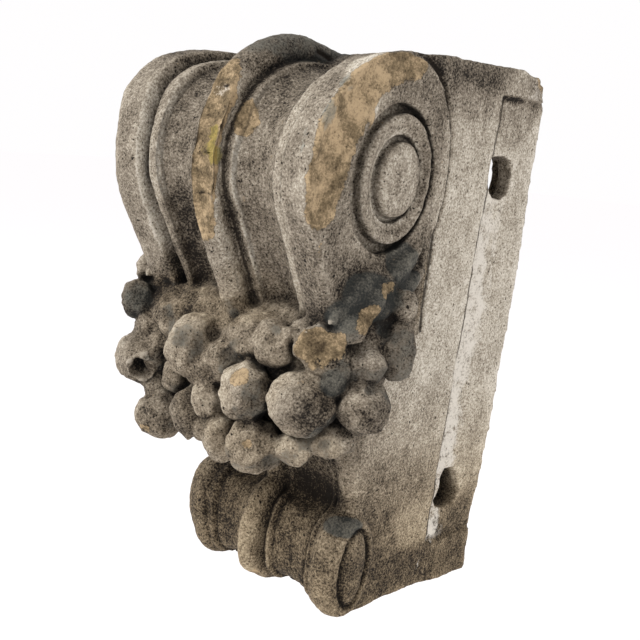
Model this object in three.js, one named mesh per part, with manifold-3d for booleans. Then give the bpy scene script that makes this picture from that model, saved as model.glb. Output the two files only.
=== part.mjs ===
// Terracotta corbel: a scrolled console with a swag of fruit, moulded in one piece to be built into a wall.
// Millimetres, +Z up. The wall face is Y = 0 and the scroll looks along -Y. Heights are measured from the
// block's underside, and the finished piece is lowered so that the origin lies on its wall face.
import * as THREE from 'three';
import { mergeVertices } from 'three/addons/utils/BufferGeometryUtils.js';
import Module from 'manifold-3d';

const wasm = await Module();
wasm.setup();

const DEGREE = Math.PI / 180;
const WELD = 0.001;
const MERGE = 0.05;

// Block: it narrows from the top to the foot
const HEIGHT = 600;
const HALF_TOP = 154.5;
const HALF_FOOT = 109.5;
const MOUNT_HEIGHT = 75;
const TOP_FLAT_END = -200;

// Widths across the front are half widths at this height, and follow the block's taper elsewhere.
// Faces of neighbouring parts that run on from each other keep a small step
const GAUGE_HEIGHT = 490;
const BLOCK_HALF = halfWidth(GAUGE_HEIGHT);
const PANEL_PROUD = 8;
const STEP = 0.5;
const BAND_HALF = BLOCK_HALF + PANEL_PROUD;

// Side view of the console's face: large scroll, neck, small roll at the foot
const SCROLL = { y: -245, z: 478, r: 122, turn: 15, leave: [-338, 392] };
const NECK = { y: -230, z: 143, lean: 12, before: 60, after: 12 };
const ROLL = { y: -221, z: 58, ry: 38, rz: 61, from: 106, to: 285, lead: 10, square: 0.88, steps: 8 };
const FACE_START = -170;
const FACE_STEPS = [1, 11, 6, 4];

// Sections across the face: fillet, flute, lip and groove, each to its half width and depth, and the depths of
// the strap and of the block behind it. Above the swag the flutes are deep. Below it the face is nearly smooth,
// and the depths stay inside the curve of the roll
const UPPER = {
  fillet: [29, 14], flute: 92, edge: 19, floor: 29, steps: 5, lip: [105, 11], groove: [114, 19],
  strap: 42, core: 30,
};
const LOWER = {
  fillet: [27, 2], flute: 101, edge: 6, floor: 9, steps: 3, lip: [109, 2], groove: [113, 6],
  strap: 16, core: 11,
};
const FLUTE_WALL = 1;
const SWAG_MIDDLE = 262;

// Round bead down the middle: it rises out of the flat top, stands proud of the bands and dips under the roll
const BEAD = { r: 16.5, sink: 3, sides: 6, riseFrom: -160, riseTo: -247, rise: 17 };
const BEAD_FOOT = { sink: -3, under: 13, from: 10, to: 70 };

// Volutes on both sides: raised rim, sunk ring, oval disc and boss, and the ends of the roll
const RIM = { y: -253, z: 477, ry: 82, rz: 119, from: -28 };
const PANEL_FOOT = { y: -176, z: 316 };
const TRIM = { front: -420, back: -100 };
const DISC = { y: -253, z: 477, ry: 59, rz: 73, ring: 9, shift: 4, sink: 11 };
const EYE = { y: -245, z: 476, ry: 29, rz: 37, ring: 6, shift: 2, sink: 7, dome: 9, gap: 2, bury: 3 };
const ROLL_EYE = { ry: 28, rz: 48, ring: 6, shift: 1.5, sink: 6 };
const OVAL_STEPS = 10;

// Hollow back, rebated rear edges, anchor holes and anchor pockets
const HOLLOW = { foot: 150, top: 560, half: 102, crown: [-285, 515], belly: [-300, 470], footFront: -170 };
const REBATE = { inner: -88.5, depth: 5, foot: 50, top: 571 };
const ANCHOR_HOLE = { front: -88, back: -36, bottom: 461, top: 503, corner: 12 };
const ANCHOR_POCKET = { front: -80, back: -36, bottom: 93, top: 141, corner: 10, depth: 35 };
const PAST = 10;

// Swag: a thick bed carries the fruit round the front and both sides, and climbs towards its ends
const BED_SECTION = [[-25, 92], [6, 88], [25, 66], [28, 30], [14, -25], [2, -55], [-25, -68]];
const BED_ROUTE = [
  [-122, -222], [-140, -264], [-130, -292], [-80, -298], [0, -292], [100, -285], [134, -258], [122, -222],
];
const BED = { height: 248, front: -288, climb: 0.7, steps: 13 };

// Fruit: kind, centre x y z, radius, half length, direction of the crown end
const FRUIT = [
  ['oval', -163, -304, 342, 14, 22, [0.2, 0, 1]],
  ['ball', -159, -318, 312, 20, 23, [0, 0, 1]],
  ['apple', -138, -324, 248, 28, 30, [0.85, -0.6, -0.1]],
  ['apple', -98, -322, 192, 28, 29, [-0.3, -0.6, 0.7]],
  ['oval', -112, -318, 216, 17, 21, [0.3, 0, 1]],
  ['pear', -38, -333, 284, 27, 39, [0.35, 0.1, 0.9]],
  ['oval', -92, -314, 300, 26, 40, [1, 0, -0.2]],
  ['oval', -76, -322, 239, 16, 21, [0.3, 0, 1]],
  ['oval', -12, -318, 266, 26, 46, [1, 0, 0.6]],
  ['oval', 32, -308, 300, 26, 48, [1, 0, 0.3]],
  ['pear', -43, -326, 203, 22, 31, [0.15, -0.2, -1]],
  ['oval', -9, -328, 230, 19, 22, [0, 0, 1]],
  ['apple', 53, -333, 255, 31, 29, [-0.1, -1, 0.05]],
  ['oval', 79, -322, 306, 23, 21, [1, 0, 0]],
  ['apple', 126, -304, 312, 26, 24, [0.5, -0.6, 0.5]],
  ['ball', 117, -316, 255, 34, 32, [0, 0, 1]],
  ['oval', 141, -298, 280, 14, 24, [0.5, 0.3, 0.8]],
  ['ball', 160, -275, 255, 26, 27, [0, 0, 1]],
  ['ball', 158, -271, 298, 18, 18, [0, 0, 1]],
  ['pear', 164, -237, 313, 19, 33, [0, 0.1, 1]],
  ['oval', 167, -236, 355, 13, 17, [0, 0, 1]],
  ['oval', 5, -320, 189, 20, 29, [0.1, -0.2, 1]],
  ['oval', 60, -324, 197, 29, 30, [1, -0.1, 0.5]],
  ['oval', 104, -308, 205, 17, 20, [1, 0, 0.2]],
  ['oval', 132, -287, 216, 18, 25, [0.8, 0.5, 0.2]],
  ['ball', -160, -270, 256, 26, 26, [0, 0, 1]],
  ['ball', -158, -266, 302, 19, 19, [0, 0, 1]],
  ['pear', -158, -232, 310, 17, 31, [0, 0.1, 1]],
  ['oval', -142, -280, 212, 19, 25, [0.8, -0.5, 0.2]],
  ['oval', -160, -230, 354, 12, 15, [0, 0, 1]],
];
const FRUIT_SIDES = 10;
const FRUIT_STEPS = 6;

// Leaf that rises from the swag on to each side panel
const LEAF = { base: [-306, 334], tip: [-193, 433], above: 14, below: 54, swell: 0.8, steps: 18 };
const LOBE = { count: 4, notch: 0.3, cusp: 3 };
const LEAF_PROUD = 12;

// Losses, as chains of balls that bit into the clay: the right band's arris and the bead round the scroll, and
// the rear top corner. Round the scroll a ball has an angle in side view, a height above the bands and a size
const ARRIS_BREAK = {
  off: 30, balls: [[94, -12, 12], [118, -20, 21], [145, -25, 26], [172, -24, 25], [197, -14, 14]],
};
const BEAD_BREAK = { out: 47, balls: [[143, 42], [152, 49], [175, 51], [190, 50], [204, 42]] };
const CORNER_BREAK = [[172, 18, 616, 40], [170, 16, 560, 24]];
const BALL_SIDES = 12;
const BALL_STEPS = 8;

function halfWidth(z) {
  return HALF_FOOT + (HALF_TOP - HALF_FOOT) * z / HEIGHT;
}

// Narrows a geometry towards the foot, as the block does
function taper(geometry) {
  const at = geometry.attributes.position;
  for (let i = 0; i < at.count; i += 1) {
    at.setX(i, at.getX(i) * halfWidth(at.getZ(i)) / BLOCK_HALF);
  }
  return geometry;
}

// Makes a closed geometry a solid
function solid(geometry) {
  const bare = geometry.clone();
  bare.deleteAttribute('normal');
  bare.deleteAttribute('uv');
  const merged = mergeVertices(bare, WELD);
  return new wasm.Manifold(new wasm.Mesh({
    numProp: 3,
    vertProperties: new Float32Array(merged.attributes.position.array),
    triVerts: new Uint32Array(merged.index.array),
  }));
}

// Extrudes a side view, drawn as (y, z), from one x to another and tapers it
function sideSolid(shape, fromX, toX) {
  const geometry = new THREE.ExtrudeGeometry(shape, {
    depth: toX - fromX, bevelEnabled: false, curveSegments: OVAL_STEPS,
  });
  geometry.applyMatrix4(new THREE.Matrix4().set(0, 0, 1, fromX, 1, 0, 0, 0, 0, 1, 0, 0, 0, 0, 0, 1));
  return solid(taper(geometry));
}

// The same side view on the right and on the left
function bothSides(shape, inner, outer) {
  return sideSolid(shape, inner, outer).add(sideSolid(shape, -outer, -inner));
}

function polygon(points) {
  return new THREE.Shape(points.map(([y, z]) => new THREE.Vector2(y, z)));
}

function rectangle(low, high) {
  return polygon([[low[0], low[1]], [high[0], low[1]], [high[0], high[1]], [low[0], high[1]]]);
}

// Rectangle with cut corners, for the broken-out anchor holes
function cutRectangle({ front, back, bottom, top, corner }) {
  return polygon([
    [front + corner, bottom], [back - corner, bottom], [back, bottom + corner], [back, top - corner],
    [back - corner, top], [front + corner, top], [front, top - corner], [front, bottom + corner],
  ]);
}

// Oval ring, wider at the front by a shift of its inner edge
function ovalRing(y, z, ry, rz, width, shift) {
  const shape = new THREE.Shape();
  shape.absellipse(y, z, ry, rz, 0, 2 * Math.PI, false);
  const hole = new THREE.Path();
  hole.absellipse(y + shift, z, ry - width, rz - width, 0, 2 * Math.PI, true);
  shape.holes.push(hole);
  return shape;
}

// Point of the small roll at an angle: an oval, squarer with a smaller power
function rollPoint(angle) {
  const swell = (t) => Math.sign(t) * Math.abs(t) ** ROLL.square;
  return new THREE.Vector2(
    ROLL.y + ROLL.ry * swell(Math.cos(angle * DEGREE)),
    ROLL.z + ROLL.rz * swell(Math.sin(angle * DEGREE)),
  );
}

// Points down the console's face, from the flat top round the scroll, the neck and the roll
function facePoints() {
  const scrollEnd = (180 + SCROLL.turn) * DEGREE;
  const neckDown = new THREE.Vector2(Math.sin(NECK.lean * DEGREE), -Math.cos(NECK.lean * DEGREE));
  const roll = Array.from({ length: ROLL.steps + 1 }, (_, i) => (
    rollPoint(THREE.MathUtils.lerp(ROLL.from, ROLL.to, i / ROLL.steps))
  ));
  const intoRoll = roll[1].clone().sub(roll[0]).normalize();
  const path = new THREE.Path();
  path.moveTo(FACE_START, HEIGHT);
  path.lineTo(SCROLL.y, HEIGHT);
  path.absarc(SCROLL.y, SCROLL.z, SCROLL.r, 90 * DEGREE, scrollEnd, false);
  path.bezierCurveTo(
    ...SCROLL.leave,
    NECK.y - NECK.before * neckDown.x, NECK.z - NECK.before * neckDown.y, NECK.y, NECK.z,
  );
  path.bezierCurveTo(
    NECK.y + NECK.after * neckDown.x, NECK.z + NECK.after * neckDown.y,
    roll[0].x - ROLL.lead * intoRoll.x, roll[0].y - ROLL.lead * intoRoll.y, roll[0].x, roll[0].y,
  );
  const upper = path.curves.flatMap((curve, i) => curve.getPoints(FACE_STEPS[i]).slice(i ? 1 : 0));
  return [...upper, ...roll.slice(1)];
}

// Unit direction of travel at a point of a line of points
function travel(points, i) {
  const next = points[Math.min(i + 1, points.length - 1)];
  return next.clone().sub(points[Math.max(i - 1, 0)]).normalize();
}

// The face set back into the block by a depth, the same all along or worked out point by point
function setBack(points, depthAt) {
  return points.map((point, i) => {
    const along = travel(points, i);
    return point.clone().add(new THREE.Vector2(-along.y, along.x).multiplyScalar(depthAt(point)));
  });
}

// A rail that an extrusion follows from point to point
class Rail extends THREE.Curve {
  constructor(points) {
    super();
    this.points = points.map(({ x, y }) => new THREE.Vector3(0, x, y));
  }

  getPointAt(u) {
    return this.points[Math.round(u * (this.points.length - 1))].clone();
  }

  getTangentAt(u) {
    return travel(this.points, Math.round(u * (this.points.length - 1)));
  }

  // The section stays level across the face
  computeFrenetFrames(segments) {
    const tangents = Array.from({ length: segments + 1 }, (_, i) => this.getTangentAt(i / segments));
    const binormals = tangents.map(() => new THREE.Vector3(1, 0, 0));
    const normals = tangents.map((tangent, i) => binormals[i].clone().cross(tangent));
    return { tangents, normals, binormals };
  }
}

function sweep(shape, points, curveSegments) {
  const rail = new Rail(points);
  const geometry = new THREE.ExtrudeGeometry(shape, {
    steps: points.length - 1, extrudePath: rail, curveSegments,
  });
  return solid(taper(geometry));
}

// Section of the strap, drawn as (depth, across)
function strapShape({ fillet, flute, edge, floor, steps, lip, groove, strap }) {
  const half = [fillet];
  for (let i = 0; i <= steps; i += 1) {
    const t = i / steps;
    const across = THREE.MathUtils.lerp(fillet[0] + FLUTE_WALL, flute - FLUTE_WALL, t);
    half.push([across, edge + (floor - edge) * Math.sin(Math.PI * t)]);
  }
  half.push([flute, lip[1]], lip, [lip[0] + STEP, groove[1]]);
  half.push([groove[0] - STEP, groove[1]], [groove[0], 0], [BAND_HALF, 0], [BAND_HALF, strap]);
  const right = half.map(([across, depth]) => [depth, across]);
  const left = half.map(([across, depth]) => [depth, -across]).reverse();
  return polygon([...left, ...right]);
}

// The face above and below the swag. Both run one step into each other behind it
function straps(face) {
  const first = face.findIndex((point) => point.y < SWAG_MIDDLE);
  const above = sweep(strapShape(UPPER), face.slice(0, first + 1), 1);
  return above.add(sweep(strapShape(LOWER), face.slice(first - 1), 1));
}

// Depth of the block behind the face
function coreDepth(point) {
  return point.y > SWAG_MIDDLE ? UPPER.core : LOWER.core;
}

function bead(face) {
  const shape = new THREE.Shape();
  shape.absellipse(0, 0, BEAD.r, BEAD.r, 0, 2 * Math.PI, false);
  const { lerp, smoothstep } = THREE.MathUtils;
  const rail = setBack(face.slice(0, -1), ({ x, y }) => {
    const risen = y < SCROLL.z ? 1 : smoothstep(-x, -BEAD.riseFrom, -BEAD.riseTo);
    const foot = lerp(BEAD_FOOT.under, BEAD_FOOT.sink, smoothstep(y, BEAD_FOOT.from, BEAD_FOOT.to));
    const rolled = 1 - smoothstep(y, ROLL.z, NECK.z);
    return lerp(BEAD.sink, foot, rolled) + BEAD.rise * (1 - risen);
  });
  return sweep(shape, rail, BEAD.sides);
}

// Block behind the strap
function block(face) {
  const core = setBack(face, coreDepth).filter((point) => point.x <= SCROLL.y || point.y < SCROLL.z);
  const front = core.map(({ x, y }) => [x, y]);
  const top = HEIGHT - STEP;
  const outline = [[0, 0], [0, top], [TOP_FLAT_END, top], ...front.slice(0, -1), [ROLL.y, 0]];
  return sideSolid(polygon(outline), -BLOCK_HALF, BLOCK_HALF);
}

// Raised panel with the volute's rim, running down to the swag
function panel(face) {
  const shape = new THREE.Shape();
  shape.moveTo(PANEL_FOOT.y, PANEL_FOOT.z);
  shape.absellipse(RIM.y, RIM.z, RIM.ry, RIM.rz, RIM.from * DEGREE, 90 * DEGREE, false);
  const inner = setBack(face, coreDepth);
  const front = inner.filter((point) => point.x < RIM.y && point.y > PANEL_FOOT.z);
  front.forEach(({ x, y }) => shape.lineTo(x, y));
  shape.lineTo(front[front.length - 1].x, PANEL_FOOT.z);
  return sideSolid(shape, STEP - BAND_HALF, BAND_HALF - STEP);
}

// Ends of the roll, as proud of the sides as the panels are
function rollEnds() {
  const shape = new THREE.Shape();
  shape.absellipse(ROLL.y, ROLL.z, ROLL.ry - STEP, ROLL.rz - STEP, 0, 2 * Math.PI, false);
  return bothSides(shape, BLOCK_HALF - PANEL_PROUD, BAND_HALF);
}

// Sunk rings of the volutes and of the ends of the roll
function voluteRings() {
  const outer = BAND_HALF + PAST;
  const disc = ovalRing(DISC.y, DISC.z, DISC.ry, DISC.rz, DISC.ring, DISC.shift);
  const eye = ovalRing(EYE.y, EYE.z, EYE.ry + EYE.ring, EYE.rz + EYE.ring, EYE.ring, EYE.shift);
  const roll = ovalRing(ROLL.y, ROLL.z, ROLL_EYE.ry, ROLL_EYE.rz, ROLL_EYE.ring, ROLL_EYE.shift);
  return bothSides(disc, BAND_HALF - DISC.sink, outer)
    .add(bothSides(eye, BAND_HALF - EYE.sink, outer))
    .add(bothSides(roll, BAND_HALF - ROLL_EYE.sink, outer));
}

// A ball with its own size along x, y and z
function ellipsoid([x, y, z], [rx, ry, rz]) {
  const geometry = new THREE.SphereGeometry(1, BALL_SIDES, BALL_STEPS);
  geometry.scale(rx, ry, rz);
  geometry.translate(x, y, z);
  return solid(geometry);
}

function eyeDomes() {
  const size = [EYE.dome, EYE.ry - EYE.gap, EYE.rz - EYE.gap];
  const out = BAND_HALF * halfWidth(EYE.z) / BLOCK_HALF - EYE.bury;
  return ellipsoid([out, EYE.y, EYE.z], size).add(ellipsoid([-out, EYE.y, EYE.z], size));
}

// How much a fruit narrows towards its crown end, and how far that end is dimpled, as parts of its size
const SLIM = { ball: 0, oval: 0, apple: 0.12, pear: 0.42 };
const DIMPLE = { ball: 0, oval: 0, apple: 0.28, pear: 0 };

function fruit([kind, x, y, z, radius, half, crown]) {
  const outline = [];
  for (let i = 0; i <= FRUIT_STEPS; i += 1) {
    const turn = Math.PI * i / FRUIT_STEPS;
    const up = -Math.cos(turn);
    const width = 1 - SLIM[kind] * THREE.MathUtils.smoothstep(up, 0, 1);
    const across = i % FRUIT_STEPS ? radius * Math.sin(turn) * width : 0;
    const dimple = i === FRUIT_STEPS ? DIMPLE[kind] : 0;
    outline.push(new THREE.Vector2(across, half * (up - dimple)));
  }
  const geometry = new THREE.LatheGeometry(outline, FRUIT_SIDES);
  const axis = new THREE.Vector3(...crown).normalize();
  geometry.applyQuaternion(new THREE.Quaternion().setFromUnitVectors(new THREE.Vector3(0, 1, 0), axis));
  geometry.translate(x, y, z);
  return solid(geometry);
}

// Bed of the swag. Its section is drawn outwards and up
function swagBed() {
  const shape = polygon(BED_SECTION.map(([out, up]) => [-up, -out]));
  const route = new THREE.CatmullRomCurve3(BED_ROUTE.map(([x, y]) => new THREE.Vector3(x, y, BED.height)));
  const geometry = new THREE.ExtrudeGeometry(shape, { steps: BED.steps, extrudePath: route });
  const at = geometry.attributes.position;
  for (let i = 0; i < at.count; i += 1) {
    at.setZ(i, at.getZ(i) + BED.climb * Math.max(0, at.getY(i) - BED.front));
  }
  return solid(geometry);
}

// Lobed leaf from its base to its tip, in side view
function leafShape() {
  const base = new THREE.Vector2(...LEAF.base);
  const along = new THREE.Vector2(...LEAF.tip).sub(base);
  const across = new THREE.Vector2(-along.y, along.x).normalize();
  const edge = (half) => Array.from({ length: LEAF.steps - 1 }, (_, i) => {
    const t = (i + 1) / LEAF.steps;
    const lobe = 1 - LOBE.notch * Math.abs(Math.cos(LOBE.count * Math.PI * t)) ** LOBE.cusp;
    const out = half * Math.sin(Math.PI * t ** LEAF.swell) * lobe;
    return base.clone().addScaledVector(along, t).addScaledVector(across, out);
  });
  const tip = base.clone().add(along);
  return new THREE.Shape([base, ...edge(-LEAF.below), tip, ...edge(LEAF.above).reverse()]);
}

function leaves() {
  return bothSides(leafShape(), BLOCK_HALF - PANEL_PROUD, BAND_HALF + LEAF_PROUD);
}

function hollow() {
  const outline = [
    [PAST, HOLLOW.foot], [PAST, HOLLOW.top], [TOP_FLAT_END, HOLLOW.top],
    HOLLOW.crown, HOLLOW.belly, [HOLLOW.footFront, HOLLOW.foot],
  ];
  return sideSolid(polygon(outline), -HOLLOW.half, HOLLOW.half);
}

// Above and behind the volute's rim the sides are flush with the block
function shoulder() {
  const shape = new THREE.Shape();
  shape.moveTo(TRIM.back, RIM.z);
  shape.absellipse(RIM.y, RIM.z, RIM.ry, RIM.rz, 0, 90 * DEGREE, false);
  shape.lineTo(RIM.y, HEIGHT + PAST);
  shape.lineTo(TRIM.back, HEIGHT + PAST);
  return shape;
}

function wallCuts() {
  const outer = BAND_HALF + PAST;
  const seat = BLOCK_HALF - REBATE.depth;
  const rebate = rectangle([REBATE.inner, REBATE.foot], [PAST, REBATE.top]);
  const neck = rectangle([TRIM.front, -PAST], [TRIM.back, PANEL_FOOT.z]);
  return bothSides(rebate, seat, outer)
    .add(bothSides(neck, BLOCK_HALF + STEP, outer))
    .add(bothSides(shoulder(), BLOCK_HALF + STEP, outer))
    .add(bothSides(cutRectangle(ANCHOR_HOLE), HOLLOW.half - PAST, outer))
    .add(bothSides(cutRectangle(ANCHOR_POCKET), seat - ANCHOR_POCKET.depth, outer));
}

// A place over the scroll: its angle in side view, its x and its height above the bands
function overScroll(angle, x, out) {
  const reach = SCROLL.r + out;
  return [x, SCROLL.y + reach * Math.cos(angle * DEGREE), SCROLL.z + reach * Math.sin(angle * DEGREE)];
}

function arrisBreak() {
  return ARRIS_BREAK.balls.map(([angle, out, half]) => {
    const [, y, z] = overScroll(angle, 0, out);
    const x = BAND_HALF * halfWidth(z) / BLOCK_HALF + ARRIS_BREAK.off;
    return [x, y, z, Math.hypot(ARRIS_BREAK.off, half)];
  });
}

function beadBreak() {
  return BEAD_BREAK.balls.map(([angle, r]) => [...overScroll(angle, 0, BEAD_BREAK.out), r]);
}

// What a chain of balls takes away, each ball joined to the next
function chain(balls) {
  const solids = balls.map(([x, y, z, r]) => ellipsoid([x, y, z], [r, r, r]));
  return wasm.Manifold.union(solids.slice(1).map((ball, i) => wasm.Manifold.hull([solids[i], ball])));
}

function corbelSolid() {
  const face = facePoints();
  let body = block(face).add(panel(face)).add(straps(face)).add(bead(face));
  body = body.subtract(wallCuts()).add(rollEnds()).subtract(voluteRings()).add(eyeDomes());
  body = body.add(swagBed()).add(leaves());
  FRUIT.forEach((row) => {
    body = body.add(fruit(row));
  });
  [arrisBreak(), beadBreak(), CORNER_BREAK].forEach((balls) => {
    body = body.subtract(chain(balls));
  });
  return body.subtract(hollow());
}

// Clay fills the small pockets that the fruit would close off: their walls are shells turned inside out.
// Slivers finer than the merge size go too
function withoutPockets(body) {
  return wasm.Manifold.union(body.decompose().filter((shell) => shell.volume() > 0)).simplify(MERGE);
}

function geometryOf(body) {
  const { vertProperties, triVerts } = body.getMesh();
  const geometry = new THREE.BufferGeometry();
  geometry.setAttribute('position', new THREE.BufferAttribute(new Float32Array(vertProperties), 3));
  geometry.setIndex(new THREE.BufferAttribute(new Uint32Array(triVerts), 1));
  geometry.computeVertexNormals();
  return geometry;
}

const terracotta = new THREE.MeshStandardMaterial({ color: 0x8c7d6c, roughness: 0.92, metalness: 0 });
const corbel = new THREE.Mesh(geometryOf(withoutPockets(corbelSolid())), terracotta);
corbel.name = 'corbel';
corbel.position.set(0, 0, -MOUNT_HEIGHT);

const group = new THREE.Group();
group.add(corbel);

export default group;
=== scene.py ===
"""Weathered terracotta corbel: a scrolled console with side volutes and a swag of fruit, moulded as one block.

The parts of the model are shaped one by one, fused into a single body of clay, then chipped, worn, stained and given
painted light and shade.
Sizes are millimetres above the block's underside until point() turns them into metres in the frame.
"""

import math
import random

import bmesh
import bpy
import numpy as np
from mathutils import Matrix, Vector, geometry, noise
from mathutils.bvhtree import BVHTree


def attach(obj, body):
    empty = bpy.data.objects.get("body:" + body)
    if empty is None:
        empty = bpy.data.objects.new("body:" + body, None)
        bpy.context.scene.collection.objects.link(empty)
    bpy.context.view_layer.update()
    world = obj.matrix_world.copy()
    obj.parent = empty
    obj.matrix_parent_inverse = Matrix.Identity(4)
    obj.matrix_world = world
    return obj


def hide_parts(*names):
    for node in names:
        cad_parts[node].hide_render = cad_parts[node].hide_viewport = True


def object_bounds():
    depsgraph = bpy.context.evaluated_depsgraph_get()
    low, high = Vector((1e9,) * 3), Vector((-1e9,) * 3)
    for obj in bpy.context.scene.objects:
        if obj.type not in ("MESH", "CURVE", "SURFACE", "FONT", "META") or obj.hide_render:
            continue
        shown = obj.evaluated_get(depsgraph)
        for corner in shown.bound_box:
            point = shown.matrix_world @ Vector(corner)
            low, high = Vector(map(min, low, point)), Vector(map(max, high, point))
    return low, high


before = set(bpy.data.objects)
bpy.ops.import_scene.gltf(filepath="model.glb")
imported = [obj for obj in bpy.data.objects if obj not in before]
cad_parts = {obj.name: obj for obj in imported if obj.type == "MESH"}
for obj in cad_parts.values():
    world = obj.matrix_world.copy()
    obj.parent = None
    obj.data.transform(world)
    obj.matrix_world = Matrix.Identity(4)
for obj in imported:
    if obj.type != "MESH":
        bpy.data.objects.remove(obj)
cad_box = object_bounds()

MM = 0.001
MOUNT_HEIGHT = 75
UP = Vector((0, 0, 1))
ACROSS = Vector((1, 0, 0))

# Block, which narrows from the top to the foot
HEIGHT = 600
HALF_TOP = 154.5
HALF_FOOT = 109.5
GAUGE_HEIGHT = 490
TOP_FLAT_END = -200

# Side view of the console's face
FACE_FLAT = (-170, -208)
SCROLL = {"y": -245, "z": 478, "r": 122, "end": 195, "leave": (-338, 392)}
NECK = {"y": -230, "z": 143, "lean": 12, "before": 60, "after": 12}
ROLL = {"y": -221, "z": 58, "ry": 38, "rz": 61, "from": 106, "to": 285, "lead": 10, "square": 0.88}
ARC_STEP = 6
BEND_STEPS = 14

# Section of the strap above and below the swag: half widths across, and depths below the bands
PANEL_PROUD = 8
UPPER = {
    "fillet": 29, "fillet_depth": 14, "flute": 92, "edge": 19, "floor": 29, "lip": 105, "groove": 114, "rounding": 4,
    "depth": 38,
}
LOWER = {
    "fillet": 27, "fillet_depth": 3, "flute": 101, "edge": 8, "floor": 12, "lip": 109, "groove": 113, "rounding": 18,
    "depth": 16,
}
CORE_ABOVE = 30
CORE_BELOW = 13
LIP_DEPTH = 11
GROOVE_DEPTH = 19
FLUTE_STEPS = 12
BAND_CROWN = 2.5
SWAG_MIDDLE = 262
BEAD = {"r": 16.5, "sink": 3, "rise_from": -160, "rise_to": -247, "rise": 17, "sides": 24}
BEAD_FOOT = {"sink": -3, "under": 13, "from": -5, "to": 45}

# Volutes
RIM = {"y": -253, "z": 477, "ry": 82, "rz": 119, "from": -28}
PANEL_FOOT = (-176, 316)
WELL = {"y": -253, "z": 477, "ry": 59, "rz": 73}
OVAL_SIDES = 56
# Rings of the volute's disc and eye: half length, half height, middle, height above the block's side
VOLUTE_RINGS = [
    (50, 63.5, -247.5, -8), (49.5, 63, -247.5, 6), (48, 61, -247, 8.5), (45, 58, -247, 9), (42, 54, -246.5, 7),
    (37, 47, -245.5, 3), (34.5, 43.5, -245, 2), (34, 43, -245, -3), (29.5, 37.5, -243, -3),
    (28, 36, -243, 6), (25.5, 33.5, -243, 9), (18, 24, -243, 11), (8, 11, -243, 12),
]
WELL_FLOOR = -5
# Rings of the roll's ends: step in from the roll's outline, height above the block's side
ROLL_RINGS = [
    (0.5, -16), (1, -8), (2.5, -2), (5, 3), (8.5, 6.5), (12, 8), (14.5, 7), (15.5, 2), (18.5, 2), (20, 7), (24, 9),
    (31, 10),
]
SCORE = [(-337.5, 430), (-334, 430), (-330, 372), (-333.5, 372)]
SCORE_DEPTH = 3

# Hollow back, rebates and anchor holes
PAST = 10
HOLLOW_HALF = 102
HOLLOW_SKIN = 3
HOLLOW = [(PAST, 150), (PAST, 560), (-200, 560), (-285, 515), (-300, 470), (-170, 150)]
REBATE = {"inner": -88.5, "depth": 5, "foot": 50, "top": 571}
ANCHOR_HOLE = [
    (-88, 502), (-82, 483), (-77, 468), (-69, 461), (-54, 459), (-43, 466), (-39, 485), (-46, 502), (-60, 507),
    (-77, 506),
]
ANCHOR_POCKET = [
    (-72, 142), (-61, 143), (-51, 136), (-42, 121), (-37, 105), (-43, 92), (-63, 90), (-76, 96), (-81, 105),
    (-74, 117), (-75, 131),
]
HOLE_INSIDE = {"outline": [(-82, 463), (-26, 463), (-24, 484), (-28, 503), (-80, 503)], "wall": 24}
POCKET_DEPTH = 35
TRIM = {"bottom": -20, "front": -420, "back": -100, "step": 0.5}

# Swag bed
BED_SECTION = [(-25, 92), (2, 90), (15, 81), (24, 66), (29, 40), (24, 8), (14, -25), (2, -55), (-25, -68)]
BED_ROUTE = [
    (-122, -222), (-140, -264), (-130, -292), (-80, -298), (0, -292), (100, -285), (134, -258), (122, -222),
]
BED = {"height": 248, "front": -288, "climb": 0.7, "steps": 6}

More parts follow.
